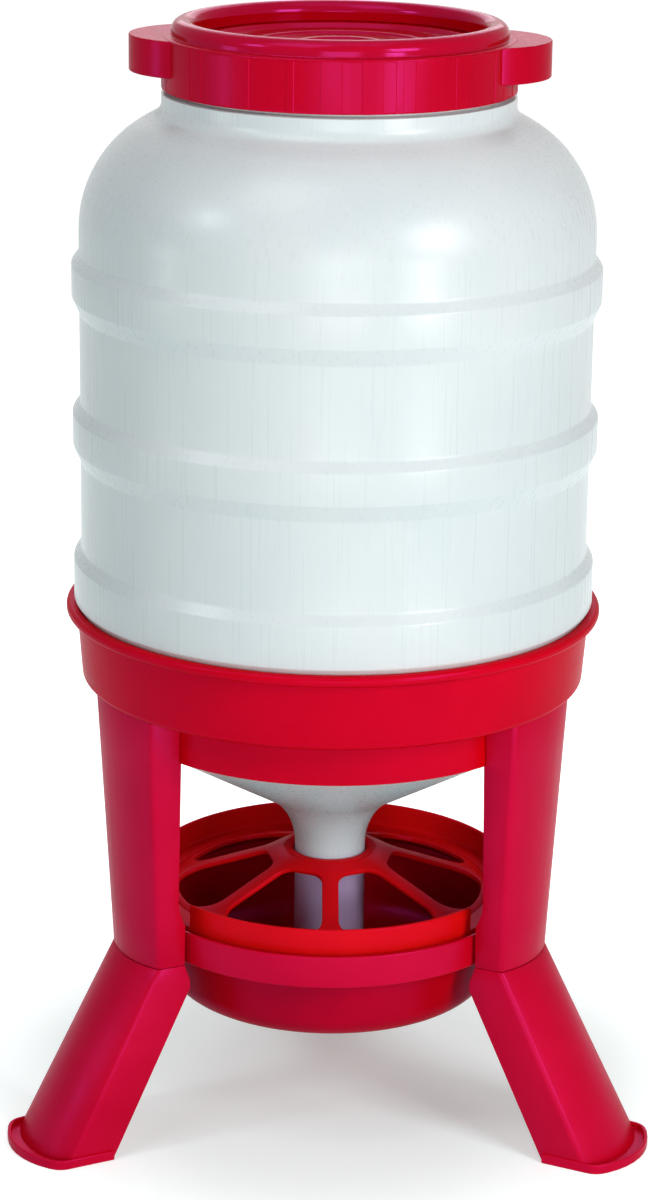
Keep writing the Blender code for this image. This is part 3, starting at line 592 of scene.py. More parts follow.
def make_foot():
    line = [(SOLE_START_Z, SOLE_INNER)]
    for share in KNEE_SHARES:
        height = KNEE_Z + KNEE_ROUNDING * share
        line.append((height, knee_line(height)))
    line.append((CREASE_Z, UPRIGHT_FOOT_INNER))
    sole = leg_shape(0.0, FOOT_SOLE, CREASE_Z, UPRIGHT_FOOT, SOLE_START_Z)
    foot = channel("foot", SOLE_START_Z, sole, CREASE_Z, UPRIGHT_FOOT, line, LEG_WALL, LEG_CORNER)
    round_edges(foot, EDGE_ROUND)
    return foot


def knee_line(height):
    """How far out the foot's inner edge is at a height."""
    if height < KNEE_Z:
        return SOLE_INNER + (KNEE_OUT - SOLE_INNER) * height / KNEE_Z
    return KNEE_OUT + (UPRIGHT_FOOT_INNER - KNEE_OUT) * (height - KNEE_Z) / (CREASE_Z - KNEE_Z)


def upright_at(height, inset):
    shape = leg_shape(CREASE_Z, UPRIGHT_FOOT, LEDGE_Z, UPRIGHT_HEAD, height)
    return inset_shape(shape, inset)


def make_fitting(name, low_z, high_z, inner, wall):
    """A short channel that fits inside an upright."""
    inset = LEG_WALL + PLUG_GAP
    fitting = channel(name, low_z, upright_at(low_z, inset), high_z, upright_at(high_z, inset),
                      [(low_z, inner), (high_z, inner)], wall, LEG_CORNER - LEG_WALL)
    round_edges(fitting, EDGE_ROUND)
    return fitting


def make_flange():
    """The D-shaped tray under a foot, with a lip round its outer edge."""
    inner = SOLE_INNER
    shape = (FLANGE_OUT, FLANGE_HALF_WIDTH, FLANGE_BULGE)
    flange = bowed_box("flange", 0.0, shape, FLANGE_HEIGHT, shape, inner)
    bevel_corners(flange, 0.0, shape, FLANGE_HEIGHT, shape, FLANGE_CORNER)
    tidy(flange)
    low = inset_shape(shape, FLANGE_LIP)
    gutter = bowed_box("gutter", FLANGE_FLOOR, low, 2 * FLANGE_HEIGHT, low, inner - FLANGE_CORNER)
    bevel_corners(gutter, FLANGE_FLOOR, low, 2 * FLANGE_HEIGHT, low, FLANGE_CORNER - FLANGE_LIP)
    tidy(gutter)
    cut(flange, gutter)
    round_edges(flange, FLANGE_EDGE, 3)
    return flange


def place_leg_pieces(piece, name, ends=""):
    """Copies a leg piece to the three legs and returns the copies by leg."""
    copies = {}
    for leg, turn in LEG_TURNS.items():
        copies[leg] = copy_of(piece, name + "_" + leg + ends)
        swing(copies[leg], turn - pi / 2)
    bpy.data.objects.remove(piece, do_unlink=True)
    return copies


# Making the turned pieces

def make_stand_ring():
    wall_z = RING_TOP_Z - LIP_DEPTH
    return spun("ring_shell", rounded([
        (LIP_OUT, RING_TOP_Z, LIP_ROUNDING),
        (LIP_OUT, wall_z, LIP_ROUNDING),
        (RING_TOP, wall_z, LIP_ROOT_FILLET),
        (RING_BASE, LEDGE_Z, RING_FOOT_FILLET),
        (SKIRT_OUT, LEDGE_Z, SKIRT_ROOT_FILLET),
        (SKIRT_OUT, LEDGE_Z - SKIRT_DROP, SKIRT_EDGE),
        (SKIRT_OUT - RING_WALL, LEDGE_Z - SKIRT_DROP, SKIRT_EDGE),
        (SKIRT_OUT - RING_WALL, LEDGE_Z + RING_LEDGE, SKIRT_ROOT_FILLET),
        (RING_BASE - RING_WALL, LEDGE_Z + RING_LEDGE, SKIRT_ROOT_FILLET),
        (RING_TOP - RING_WALL, wall_z, RING_HEAD_FILLET),
        (LIP_OUT - LIP_DEPTH, RING_TOP_Z, LIP_INNER_FILLET),
    ]))


def make_carrier():
    inner = CARRIER - CARRIER_WALL
    ledge_bottom = CARRIER_LEDGE_Z - RING_WALL
    return spun("carrier_shell", rounded([
        (CARRIER, CARRIER_TOP_Z, CARRIER_EDGE),
        (CARRIER - CARRIER_DRAFT, CREASE_Z, CARRIER_EDGE),
        (inner - CARRIER_DRAFT, CREASE_Z, CARRIER_INNER_EDGE),
        (inner - CARRIER_DRAFT, ledge_bottom),
        (CARRIER_LEDGE, ledge_bottom, CARRIER_INNER_EDGE),
        (CARRIER_LEDGE, CARRIER_LEDGE_Z, CARRIER_INNER_EDGE),
        (inner, CARRIER_LEDGE_Z),
        (inner, CARRIER_TOP_Z, CARRIER_INNER_EDGE),
    ]))


def make_bowl():
    base = BOWL_RADIUS - BOWL_TAPER
    rim_top = BOWL_RIM_Z + BOWL_RIM_DEPTH
    floor_top = BOWL_FLOOR_Z + BOWL_WALL
    return spun("bowl_shell", rounded([
        (0.0, BOWL_FLOOR_Z + SPREADER_RISE),
        (SPREADER, BOWL_FLOOR_Z, SPREADER_FILLET),
        (base, BOWL_FLOOR_Z, BOWL_FLOOR_FILLET),
        (BOWL_RADIUS, BOWL_RIM_Z, BOWL_RIM_ROOT),
        (BOWL_RIM, BOWL_RIM_Z, BOWL_RIM_EDGE),
        (BOWL_RIM, rim_top, BOWL_RIM_EDGE),
        (BOWL_RADIUS - BOWL_WALL, rim_top, BOWL_MOUTH_FILLET),
        (base - BOWL_WALL, floor_top, BOWL_FLOOR_FILLET - BOWL_WALL),
        (SPREADER, floor_top, SPREADER_FILLET),
        (0.0, floor_top + SPREADER_RISE),
    ], closed=False), closed=False)


def cone_height(out):
    return SEAT_Z - CONE_DROP - CONE_SLOPE * (CONE_EDGE - out)


def make_hopper():
    """The drum: collar, round shoulder, three raised bands, cone and outlet tube."""
    wall = HOPPER_WALL
    wall_drop = wall * sqrt(1 + CONE_SLOPE ** 2)
    band = BODY + BAND_RAISE
    slope = (COLLAR_Z - BODY_TOP_Z) / (BODY - COLLAR)
    shoulder_drop = wall * sqrt(1 + slope ** 2)
    spigot_top = SEAT_Z + SPIGOT_HEIGHT
    outside = [
        (NECK, NECK_TOP_Z, NECK_EDGE),
        (NECK, NECK_SEAT_Z + NECK_STEP, NECK_STEP_FILLET),
        (COLLAR, NECK_SEAT_Z, COLLAR_EDGE),
        (COLLAR, COLLAR_Z, NECK_FILLET),
        (BODY, BODY_TOP_Z, SHOULDER_FILLET),
    ]
    for index in range(BANDS):
        top = BODY_TOP_Z - TOP_BAND_DROP - BAND_PITCH * index
        outside += [(BODY, top + BAND_TOP_FLANK, BAND_ROOT_FILLET), (band, top, BAND_FILLET)]
        if index < BANDS - 1:
            outside += [(band, top - BAND_FLAT, BAND_FILLET),
                        (BODY, top - BAND_FLAT - BAND_BASE_FLANK, BAND_ROOT_FILLET)]
    outside += [
        (band, spigot_top + SPIGOT_FLANK, BAND_FILLET),
        (SPIGOT, spigot_top, SPIGOT_FILLET),
        (SPIGOT, SEAT_Z, SEAT_FILLET),
        (CONE_EDGE, SEAT_Z, SEAT_EDGE),
        (CONE_EDGE, cone_height(CONE_EDGE), CONE_FILLET),
        (OUTLET, cone_height(OUTLET), FLARE),
        (OUTLET, OUTLET_END_Z, OUTLET_EDGE),
    ]
    bore = OUTLET - OUTLET_WALL
    edge = CONE_EDGE - wall
    neck = NECK - NECK_WALL
    inside = [
        (bore, OUTLET_END_Z, OUTLET_EDGE),
        (bore, cone_height(bore) + wall_drop, FLARE),
        (edge, cone_height(edge) + wall_drop, CONE_FILLET),
        (edge, SEAT_Z + wall, SEAT_INNER_FILLET),
        (SPIGOT - wall, SEAT_Z + wall, SEAT_INNER_FILLET),
        (SPIGOT - wall, spigot_top, SPIGOT_FILLET),
        (BODY - wall, spigot_top + SPIGOT_FLANK, SPIGOT_FILLET),
        (BODY - wall, BODY_TOP_Z - shoulder_drop + wall * slope, SHOULDER_FILLET - wall),
        (neck, BODY_TOP_Z - shoulder_drop + (BODY - neck) * slope, NECK_FILLET),
        (neck, NECK_TOP_Z, NECK_EDGE),
    ]
    return spun("hopper_shell", rounded(outside + inside), smooth_angle=CREASE_ANGLE)


def make_thread(name, root, crest, start_z, turns):
    """A thread's ridge, from its root radius to its crest radius, rising round the centre line."""
    half_root = THREAD_WIDTH / 2
    half_crest = THREAD_CREST / 2
    profile = [(root, start_z - half_root), (crest, start_z - half_crest),
               (crest, start_z + half_crest), (root, start_z + half_root)]
    thread = draw_line(name, [Vector((out, 0, up)) for out, up in profile], closed=True)
    bpy.ops.object.mode_set(mode="OBJECT")
    apply_modifier(thread, "SCREW", angle=2 * pi * turns, screw_offset=THREAD_LEAD * turns,
                   steps=round(ROUND_STEPS * turns), render_steps=round(ROUND_STEPS * turns),
                   use_merge_vertices=False)
    bpy.ops.object.mode_set(mode="EDIT")
    bpy.ops.mesh.select_all(action="SELECT")
    bpy.ops.mesh.fill_holes(sides=0)
    return tidy(thread)


def make_gasket():
    inner = NECK - GASKET_WIDTH
    top = GASKET_Z + GASKET_DEPTH
    corners = ((NECK, top), (NECK, GASKET_Z), (inner, GASKET_Z), (inner, top))
    return spun("gasket_foam", rounded([(out, up, GASKET_EDGE) for out, up in corners]))


def make_disc():
    """The cover disc: a sunk panel with round ridges pressed into it."""
    panel = DISC_TOP_Z - PANEL_DROP
    top = [(0.0, panel)]
    for ridge in RIDGES:
        low = ridge - RIDGE_WIDTH / 2
        high = ridge + RIDGE_WIDTH / 2
        slope = RIDGE_RAISE / 2
        top += [(low - slope, panel, RIDGE_FILLET),
                (low + slope, panel + RIDGE_RAISE, RIDGE_FILLET),
                (high - slope, panel + RIDGE_RAISE, RIDGE_FILLET),
                (high + slope, panel, RIDGE_FILLET)]
    top += [(PANEL_RADIUS, panel, PANEL_FILLET),
            (PANEL_RADIUS + PANEL_DROP, DISC_TOP_Z, PANEL_FILLET)]
    inner = DISC_SPIGOT - DISC_SPIGOT_WALL
    bottom = NECK_TOP_Z - DISC_SPIGOT_REACH
    return spun("disc_plate", rounded(top + [
        (DISC_RADIUS, DISC_TOP_Z, DISC_EDGE),
        (DISC_RADIUS, DISC_Z, DISC_EDGE),
        (DISC_SPIGOT, DISC_Z),
        (DISC_SPIGOT, bottom, DISC_SPIGOT_EDGE),
        (inner, bottom, DISC_SPIGOT_EDGE),
        (inner, panel - DISC_WALL),
        (0.0, panel - DISC_WALL),
    ], closed=False), closed=False)


def make_lid_skirt():
    """The screw ring's skirt, with a small step at its shoulder."""
    skirt_z = LID_SHOULDER_Z - LID_SKIRT
    inner = LID_RADIUS - LID_WALL
    skirt = spun("lid_skirt", rounded([
        (ROLL_OUT - LID_WALL / 2, LID_SHOULDER_Z),
        (LID_RADIUS, LID_SHOULDER_Z, LID_CORNER),
        (LID_RADIUS, skirt_z, LID_EDGE),
        (inner, skirt_z, LID_EDGE),
        (inner, LID_Z),
        (ROLL_OUT - LID_WALL / 2, LID_Z),
    ]))
    press_panels(skirt)
    return skirt


def press_panels(skirt):
    """Sinks shallow upright panels of uneven width into the skirt, as sliding moulds leave them."""
    chance = random.Random(PANEL_SEED)
    sunk = []
    while len(sunk) < ROUND_STEPS:
        sunk += [True] * chance.choice(PANEL_WIDTHS) + [False] * chance.choice(PANEL_GAPS)
    bpy.ops.object.mode_set(mode="EDIT")
    bpy.ops.mesh.select_mode(type="FACE")
    drawn = bmesh.from_edit_mesh(skirt.data)
    for face in drawn.faces:
        middle = face.calc_center_median()
        turn = (atan2(middle.y, middle.x) / (2 * pi)) % 1.0
        is_outer = hypot(middle.x, middle.y) > LID_RADIUS - PANEL_DEPTH
        is_upright = abs(face.normal.z) < UPRIGHT_FACING
        face.select = is_outer and is_upright and sunk[int(turn * ROUND_STEPS)]
    bmesh.update_edit_mesh(skirt.data)
    bpy.ops.mesh.inset(thickness=PANEL_EDGE, depth=-PANEL_DEPTH)
    bpy.ops.object.mode_set(mode="OBJECT")
    smooth(skirt)


def make_lid_roll():
    crest = LID_SHOULDER_Z + ROLL_RISE
    top_round = (ROLL_OUT - ROLL_IN) / 2 - SEAT_GAP
    wall = LID_WALL
    return spun("lid_roll", rounded([
        (ROLL_OUT + ROLL_LAP, LID_SHOULDER_Z - ROLL_LAP_DROP),
        (ROLL_OUT, LID_SHOULDER_Z + ROLL_ROOT_FILLET, ROLL_ROOT_FILLET),
        (ROLL_OUT, crest, top_round),
        (ROLL_IN, crest, top_round),
        (ROLL_IN, LID_Z, LID_EDGE),
        (ROLL_IN + wall, LID_Z, LID_EDGE),
        (ROLL_IN + wall, crest - wall, top_round - wall),
        (ROLL_OUT - wall, crest - wall, top_round - wall),
        (ROLL_OUT - wall, LID_Z, LID_EDGE),
        (ROLL_OUT + ROLL_LAP, LID_Z),
    ]))


def make_ear(side):
    """A round ear beside the skirt, hollow underneath, with ribs across its hollow."""
    top = LID_SHOULDER_Z - EAR_DROP
    middle = LID_RADIUS + EAR_REACH - EAR_RADIUS
    label = "right" if side > 0 else "left"
    bpy.ops.object.select_all(action="DESELECT")
    bpy.ops.mesh.primitive_cylinder_add(vertices=EAR_STEPS, radius=EAR_RADIUS, depth=EAR_DEPTH,
                                        location=(side * middle, 0, top - EAR_DEPTH / 2))
    ear = start_piece("lid_ear_" + label)
    bpy.ops.object.transform_apply(location=True, rotation=True, scale=True)
    bpy.ops.object.mode_set(mode="EDIT")
    bpy.ops.mesh.select_mode(type="FACE")
    bpy.ops.mesh.select_all(action="DESELECT")
    drawn = bmesh.from_edit_mesh(ear.data)
    for face in drawn.faces:
        face.select = face.normal.z < -FACING
    bmesh.update_edit_mesh(ear.data)
    bpy.ops.mesh.inset(thickness=EAR_WALL)
    bpy.ops.mesh.extrude_region_move(TRANSFORM_OT_translate={"value": (0, 0, EAR_DEPTH - EAR_WALL)})
    tidy(ear)
    bpy.ops.object.select_all(action="DESELECT")
    bpy.ops.mesh.primitive_cylinder_add(vertices=EAR_STEPS * 2, radius=LID_RADIUS - LID_WALL / 2,
                                        depth=4 * EAR_DEPTH, location=(0, 0, top))
    cut(ear, start_piece("skirt_space"))
    round_edges(ear, EAR_EDGE, 3, CREASE_ANGLE)
    ribs = []
    for offset in EAR_RIBS:
        tip = middle + sqrt((EAR_RADIUS - EAR_WALL / 2) ** 2 - (abs(offset) + EAR_WALL / 2) ** 2)
        start = sqrt((LID_RADIUS - LID_WALL / 2) ** 2 - offset ** 2)
        bpy.ops.object.select_all(action="DESELECT")
        place = (side * (tip + start) / 2, offset, top - EAR_DEPTH / 2)
        bpy.ops.mesh.primitive_cube_add(size=1.0, location=place)
        rib = start_piece("rib")
        rib.scale = (tip - start, EAR_WALL, EAR_DEPTH - 2 * EAR_WALL)
        bpy.ops.object.transform_apply(location=True, rotation=True, scale=True)
        ribs.append(rib)
    ear = join("lid_ear_" + label, [ear] + ribs)
    swing(ear, LID_REST_TURN)
    return ear


# Making the grille

def web_height(out):
    share = (GRILLE_LEDGE - out) / (GRILLE_LEDGE - HUB)
    return GRILLE_LEDGE_Z + (HUB_Z - GRILLE_LEDGE_Z) * max(0.0, min(1.0, share))


def eye_outline():
    """An opening between two spokes, as (out, angle) points about its own middle line."""
    half = pi / SPOKES
    start = half - SPOKE_WIDTH / 2 / EYE_START
    end = half - SPOKE_WIDTH / 2 / EYE_END
    corners = [(EYE_START * cos(-start), EYE_START * sin(-start), EYE_INNER_FILLET),
               (EYE_END * cos(-end), EYE_END * sin(-end), EYE_OUTER_FILLET)]
    corners += [(EYE_END * cos(end * share), EYE_END * sin(end * share)) for share in EYE_ARC]
    corners += [(EYE_END * cos(end), EYE_END * sin(end), EYE_OUTER_FILLET),
                (EYE_START * cos(start), EYE_START * sin(start), EYE_INNER_FILLET)]
    return [(p.length, atan2(p.y, p.x)) for p in rounded(corners)]


def sector_outline(eye):
    """Where the web's own sector ends, straight outward from each point of the opening."""
    half = pi / SPOKES
    middle = (HUB + GRILLE_LEDGE) / 2
    edge = []
    for out, angle in eye:
        across = abs(angle) / half
        along = (out - middle) / ((GRILLE_LEDGE if out > middle else HUB) - middle)
        reach = 1 / max(across, along)
        edge.append([middle + (out - middle) * reach, angle * reach])
    for corner in ((HUB, -half), (HUB, half), (GRILLE_LEDGE, -half), (GRILLE_LEDGE, half)):
        nearest = min(edge, key=lambda p: hypot(p[0] - corner[0], (p[1] - corner[1]) * middle))
        nearest[0], nearest[1] = corner
    return edge


def web_point(out, angle):
    return Vector((out * cos(angle), out * sin(angle), web_height(out)))


def make_web():
    """The spoked cone, from one sector round one opening, copied round the hub."""
    eye = eye_outline()
    inner = draw_line("web", [web_point(*p) for p in eye], closed=True)
    bpy.ops.object.mode_set(mode="OBJECT")
    outer = draw_line("web_edge", [web_point(*p) for p in sector_outline(eye)], closed=True)
    bpy.ops.object.mode_set(mode="OBJECT")
    sector = join("web", [inner, outer])
    bpy.ops.object.mode_set(mode="EDIT")
    bpy.ops.mesh.select_all(action="SELECT")
    bpy.ops.mesh.bridge_edge_loops()
    bpy.ops.object.mode_set(mode="OBJECT")
    sectors = []
    for index in range(SPOKES):
        part = copy_of(sector, "web_sector_%d" % (index + 1))
        swing(part, -pi / 2 + 2 * pi * (index + 0.5) / SPOKES)
        sectors.append(part)
    bpy.data.objects.remove(sector, do_unlink=True)
    web = join("grille_web", sectors)
    bpy.ops.object.mode_set(mode="EDIT")
    bpy.ops.mesh.select_all(action="SELECT")
    bpy.ops.mesh.remove_doubles(threshold=SECTOR_MERGE)
    bpy.ops.mesh.normals_make_consistent(inside=False)
    bpy.ops.object.mode_set(mode="OBJECT")
    if sum(face.normal.z for face in web.data.polygons) < 0:
        bpy.ops.object.mode_set(mode="EDIT")
        bpy.ops.mesh.flip_normals()
        bpy.ops.object.mode_set(mode="OBJECT")
    apply_modifier(web, "SOLIDIFY", thickness=GRILLE_WEB, offset=-1.0)
    round_edges(web, EYE_EDGE, 3, CREASE_ANGLE)
    return web


def make_rim():
    """The grille's raised outer rim with its flat ledge, notched where the uprights pass."""
    inner = GRILLE_RADIUS - GRILLE_WALL
    rim = spun("grille_rim", rounded([
        (GRILLE_RADIUS, GRILLE_TOP_Z, GRILLE_TOP_EDGE),
        (GRILLE_RADIUS, GRILLE_Z, GRILLE_FOOT_EDGE),
        (inner, GRILLE_Z, GRILLE_FOOT_EDGE),
        (inner, GRILLE_LEDGE_Z - GRILLE_WEB),
        (GRILLE_LEDGE, GRILLE_LEDGE_Z - GRILLE_WEB),
        (GRILLE_LEDGE, GRILLE_LEDGE_Z),
        (inner, GRILLE_LEDGE_Z, GRILLE_LEDGE_FILLET),
        (inner, GRILLE_TOP_Z, GRILLE_TOP_EDGE),
    ]))
    floor = GRILLE_RADIUS - NOTCH_DEPTH
    half = NOTCH_HALF_WIDTH
    corners = ((floor, -half), (CARRIER, -half), (CARRIER, half), (floor, half))
    outline = [Vector(corner) for corner in corners]
    notch = block("notch", outline, GRILLE_LEDGE_Z + SEAT_GAP, GRILLE_TOP_Z + GRILLE_WEB)
    for cutter in place_leg_pieces(notch, "notch").values():
        cut(rim, cutter)
    smooth(rim)
    return rim


def make_hub():
    wall = HUB_BORE + GRILLE_WALL
    return spun("grille_hub", rounded([
        (HUB, HUB_Z),
        (HUB, HUB_Z - GRILLE_WEB),
        (wall, HUB_Z - GRILLE_WEB),
        (wall, HUB_Z - HUB_DEPTH, HUB_FOOT_EDGE),
        (HUB_BORE, HUB_Z - HUB_DEPTH, HUB_FOOT_EDGE),
        (HUB_BORE, HUB_Z, HUB_TOP_EDGE),
    ]))


# Making the finishes

def new_finish(name, colour, roughness, tint):
    finish = bpy.data.materials.new(name)
    finish.use_nodes = True
    shader = finish.node_tree.nodes["Principled BSDF"]
    shader.inputs["Base Color"].default_value = colour
    shader.inputs["Roughness"].default_value = roughness
    shader.inputs["Specular Tint"].default_value = tint
    finish.diffuse_color = colour
    return finish, shader


def add_node(finish, kind, **inputs):
    node = finish.node_tree.nodes.new(kind)
    for name, value in inputs.items():
        node.inputs[name.replace("_", " ")].default_value = value
    return node


def stretched_noise(finish, stretch, scale, detail):
    """Noise drawn out along chosen directions of the piece, as streaks left by the mould."""
    links = finish.node_tree.links
    place = finish.node_tree.nodes.new("ShaderNodeTexCoord")
    mapping = add_node(finish, "ShaderNodeMapping", Scale=stretch)
    noise = add_node(finish, "ShaderNodeTexNoise", Scale=scale, Detail=detail, Roughness=0.6)
    links.new(place.outputs["Object"], mapping.inputs["Vector"])
    links.new(mapping.outputs["Vector"], noise.inputs["Vector"])
    return noise.outputs["Fac"]


def graded(finish, value, low, high, low_at=0.35, high_at=0.65):
    """Turns noise into a range of greys or colours."""
    ramp = finish.node_tree.nodes.new("ShaderNodeValToRGB")
    ramp.color_ramp.elements[0].position = low_at
    ramp.color_ramp.elements[1].position = high_at
    ramp.color_ramp.elements[0].color = low
    ramp.color_ramp.elements[1].color = high
    finish.node_tree.links.new(value, ramp.inputs["Fac"])
    return ramp.outputs["Color"]


def grey(value):
    return (value, value, value, 1.0)


def add_bump(finish, shader, height, strength, distance, under=None):
    bump = add_node(finish, "ShaderNodeBump", Strength=strength, Distance=distance)
    finish.node_tree.links.new(height, bump.inputs["Height"])
    if under is not None:
        finish.node_tree.links.new(under, bump.inputs["Normal"])
    finish.node_tree.links.new(bump.outputs["Normal"], shader.inputs["Normal"])
    return bump.outputs["Normal"]


def red_plastic(name, dark, bright, roughness, streak, streak_depth, sheen):
    """Glossy moulded plastic whose colour clouds a little, with fine flow lines in its gloss."""
    finish, shader = new_finish(name, bright, roughness, PINK_SHEEN)
    shader.inputs["Specular IOR Level"].default_value = sheen
    links = finish.node_tree.links
    cloud = stretched_noise(finish, EVEN_GRAIN, scale=9.0, detail=3.0)
    links.new(graded(finish, cloud, dark, bright), shader.inputs["Base Color"])
    lines = stretched_noise(finish, streak, scale=1.0, detail=6.0)
    glossy = grey(roughness - 0.03)
    dull = grey(roughness + 0.04)
    links.new(graded(finish, lines, glossy, dull), shader.inputs["Roughness"])
    grain = stretched_noise(finish, EVEN_GRAIN, scale=900.0, detail=2.0)
    first = add_bump(finish, shader, grain, strength=0.02, distance=0.0002)
    add_bump(finish, shader, lines, streak_depth, distance=0.0004, under=first)
    return finish


def milky_plastic():
    """Blown white plastic with faint upright scratches, with painted shade: bluer on the cone under
    the ring, and lilac on the tube under the grille, where the lilac also stands for red light
    bounced off the bowl.
    """
    pale = (0.69, 0.73, 0.742, 1.0)
    cool = (0.635, 0.693, 0.71, 1.0)
    cone = (0.60, 0.76, 0.79, 1.0)
    lilac = (0.56, 0.45, 0.74, 1.0)
    finish, shader = new_finish("hopper_finish", pale, 0.34, WHITE_SHEEN)
    nodes = finish.node_tree.nodes
    links = finish.node_tree.links
    cloud = stretched_noise(finish, DRUM_CLOUDS, scale=7.0, detail=4.0)
    colour = graded(finish, cloud, cool, pale)
    place = nodes.new("ShaderNodeTexCoord")
    split = nodes.new("ShaderNodeSeparateXYZ")
    links.new(place.outputs["Object"], split.inputs["Vector"])
    # Painted shade: the colour turns bluer under the cone's top edge, and lilac on the tube under
    # the hub's height.
    cone_top_z = SEAT_Z - CONE_DROP
    for shade_colour, top_z, foot_z in ((cone, cone_top_z, cone_top_z - CONE_SHADE_DEPTH),
                                 (lilac, HUB_Z + TUBE_SHADE_TOP, HUB_Z + TUBE_SHADE_FOOT)):
        low = add_node(finish, "ShaderNodeMapRange", From_Min=top_z, From_Max=foot_z)
        links.new(split.outputs["Z"], low.inputs["Value"])
        mix = nodes.new("ShaderNodeMix")
        mix.data_type = "RGBA"
        mix.inputs["B"].default_value = shade_colour
        links.new(low.outputs["Result"], mix.inputs["Factor"])
        links.new(colour, mix.inputs["A"])
        colour = mix.outputs["Result"]
    links.new(colour, shader.inputs["Base Color"])
    scratches = stretched_noise(finish, DRUM_SCRATCHES, scale=1.0, detail=5.0)
    glossy = grey(0.26)
    dull = grey(0.34)
    links.new(graded(finish, scratches, glossy, dull), shader.inputs["Roughness"])
    pores = stretched_noise(finish, EVEN_GRAIN, scale=300.0, detail=3.0)
    first = add_bump(finish, shader, pores, strength=0.05, distance=0.0003)
    add_bump(finish, shader, scratches, strength=0.03, distance=0.0003, under=first)
    return finish


def foam_rubber():
    finish, shader = new_finish("gasket_finish", grey(0.02), 0.85, WHITE_SHEEN)
    cells = stretched_noise(finish, EVEN_GRAIN, scale=1400.0, detail=3.0)
    black = graded(finish, cells, grey(0.012), grey(0.04))
    finish.node_tree.links.new(black, shader.inputs["Base Color"])
    add_bump(finish, shader, cells, strength=0.4, distance=0.0003)
    return finish


STAND_FINISH = red_plastic(
    "stand_finish", dark=(0.56, 0.0, 0.001, 1), bright=(0.63, 0.0, 0.003, 1),
    roughness=0.34, streak=WALL_LINES, streak_depth=0.05, sheen=0.013)
# The red of the legs and carrier is the plastic's own, tinted pinker than the stand's as a painted
# sheen.
LEG_SHEEN_FINISH = red_plastic(
    "leg_sheen_finish", dark=(0.52, 0.0, 0.008, 1), bright=(0.59, 0.002, 0.018, 1),
    roughness=0.34, streak=LEG_LINES, streak_depth=0.05, sheen=0.020)
SKIRT_FINISH = red_plastic(
    "skirt_finish", dark=(0.47, 0.0, 0.002, 1), bright=(0.53, 0.0, 0.004, 1),
    roughness=0.30, streak=LEG_LINES, streak_depth=0.03, sheen=0.018)
ROLL_FINISH = red_plastic(
    "roll_finish", dark=(0.47, 0.0, 0.002, 1), bright=(0.51, 0.0, 0.004, 1),
    roughness=0.14, streak=WALL_LINES, streak_depth=0.0, sheen=0.020)
# The bowl is the stand's red plastic, painted darker as shade for where it sits under the grille.
SHADED_BOWL_FINISH = red_plastic(
    "bowl_shaded_finish", dark=(0.38, 0.0, 0.003, 1), bright=(0.48, 0.0, 0.005, 1),
    roughness=0.32, streak=WALL_LINES, streak_depth=0.03, sheen=0.016)
GRILLE_FINISH = red_plastic(
    "grille_finish", dark=(0.66, 0.003, 0.003, 1), bright=(0.74, 0.005, 0.005, 1),
    roughness=0.34, streak=WALL_LINES, streak_depth=0.03, sheen=0.008)
HOPPER_FINISH = milky_plastic()
GASKET_FINISH = foam_rubber()


def finish_piece(piece, finish, slot, body, *nodes):
    """Gives a piece its finish and body, and names the solids it stands for. Its record slot is not
    used.
    """
    piece.data.materials.clear()
    piece.data.materials.append(finish)
    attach(piece, body)
    if nodes:
        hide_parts(*nodes)


# The finished feeder

finish_piece(make_stand_ring(), STAND_FINISH, "stand_red", "stand", "stand_ring")
tongue = make_fitting("tongue", LEDGE_Z - TONGUE_DROP, LEDGE_Z + RING_LEDGE / 2, TONGUE_OUT,
                      PLUG_WALL)
for piece in place_leg_pieces(tongue, "ring_tongue").values():
    finish_piece(piece, STAND_FINISH, "stand_red", "stand")
for leg, piece in place_leg_pieces(make_upright(), "leg_upright").items():
    finish_piece(piece, LEG_SHEEN_FINISH, "stand_red", "stand", "upright_" + leg)
for leg, piece in place_leg_pieces(make_foot(), "leg_foot").items():
    finish_piece(piece, LEG_SHEEN_FINISH, "stand_red", "stand", "foot_" + leg)
plug = make_fitting("plug", CREASE_Z - LEG_WALL, CREASE_Z + PLUG_HEIGHT, UPRIGHT_INNER, PLUG_WALL)
for piece in place_leg_pieces(plug, "leg_plug").values():
    finish_piece(piece, LEG_SHEEN_FINISH, "stand_red", "stand")
for piece in place_leg_pieces(make_flange(), "leg_flange").values():
    finish_piece(piece, LEG_SHEEN_FINISH, "stand_red", "stand")
lug_z = CREASE_Z + PLUG_HEIGHT + SEAT_GAP
lug = make_fitting("lug", lug_z, lug_z + LUG_HEIGHT, CARRIER - CARRIER_WALL / 2, RING_WALL)
for piece in place_leg_pieces(lug, "carrier_lug").values():
    finish_piece(piece, STAND_FINISH, "stand_red", "stand")
finish_piece(make_carrier(), LEG_SHEEN_FINISH, "stand_red", "stand", "bowl_ring")
finish_piece(make_bowl(), SHADED_BOWL_FINISH, "bowl_red", "bowl", "bowl")
finish_piece(make_web(), GRILLE_FINISH, "grille_red", "grille", "grille")
finish_piece(make_rim(), GRILLE_FINISH, "grille_red", "grille")
finish_piece(make_hub(), GRILLE_FINISH, "grille_red", "grille")
finish_piece(make_hopper(), HOPPER_FINISH, "hopper_white", "hopper", "hopper")
neck_thread = make_thread("neck_thread", NECK - THREAD_SINK, NECK + THREAD_DEPTH,
                          NECK_THREAD_Z, NECK_THREAD_TURNS)
finish_piece(neck_thread, HOPPER_FINISH, "hopper_white", "hopper")
finish_piece(make_gasket(), GASKET_FINISH, "gasket_black", "cover", "lid_gasket")
finish_piece(make_disc(), ROLL_FINISH, "lid_red", "cover", "lid_disc")
finish_piece(make_lid_skirt(), SKIRT_FINISH, "lid_red", "screw_ring", "lid_ring")
finish_piece(make_lid_roll(), ROLL_FINISH, "lid_red", "screw_ring")
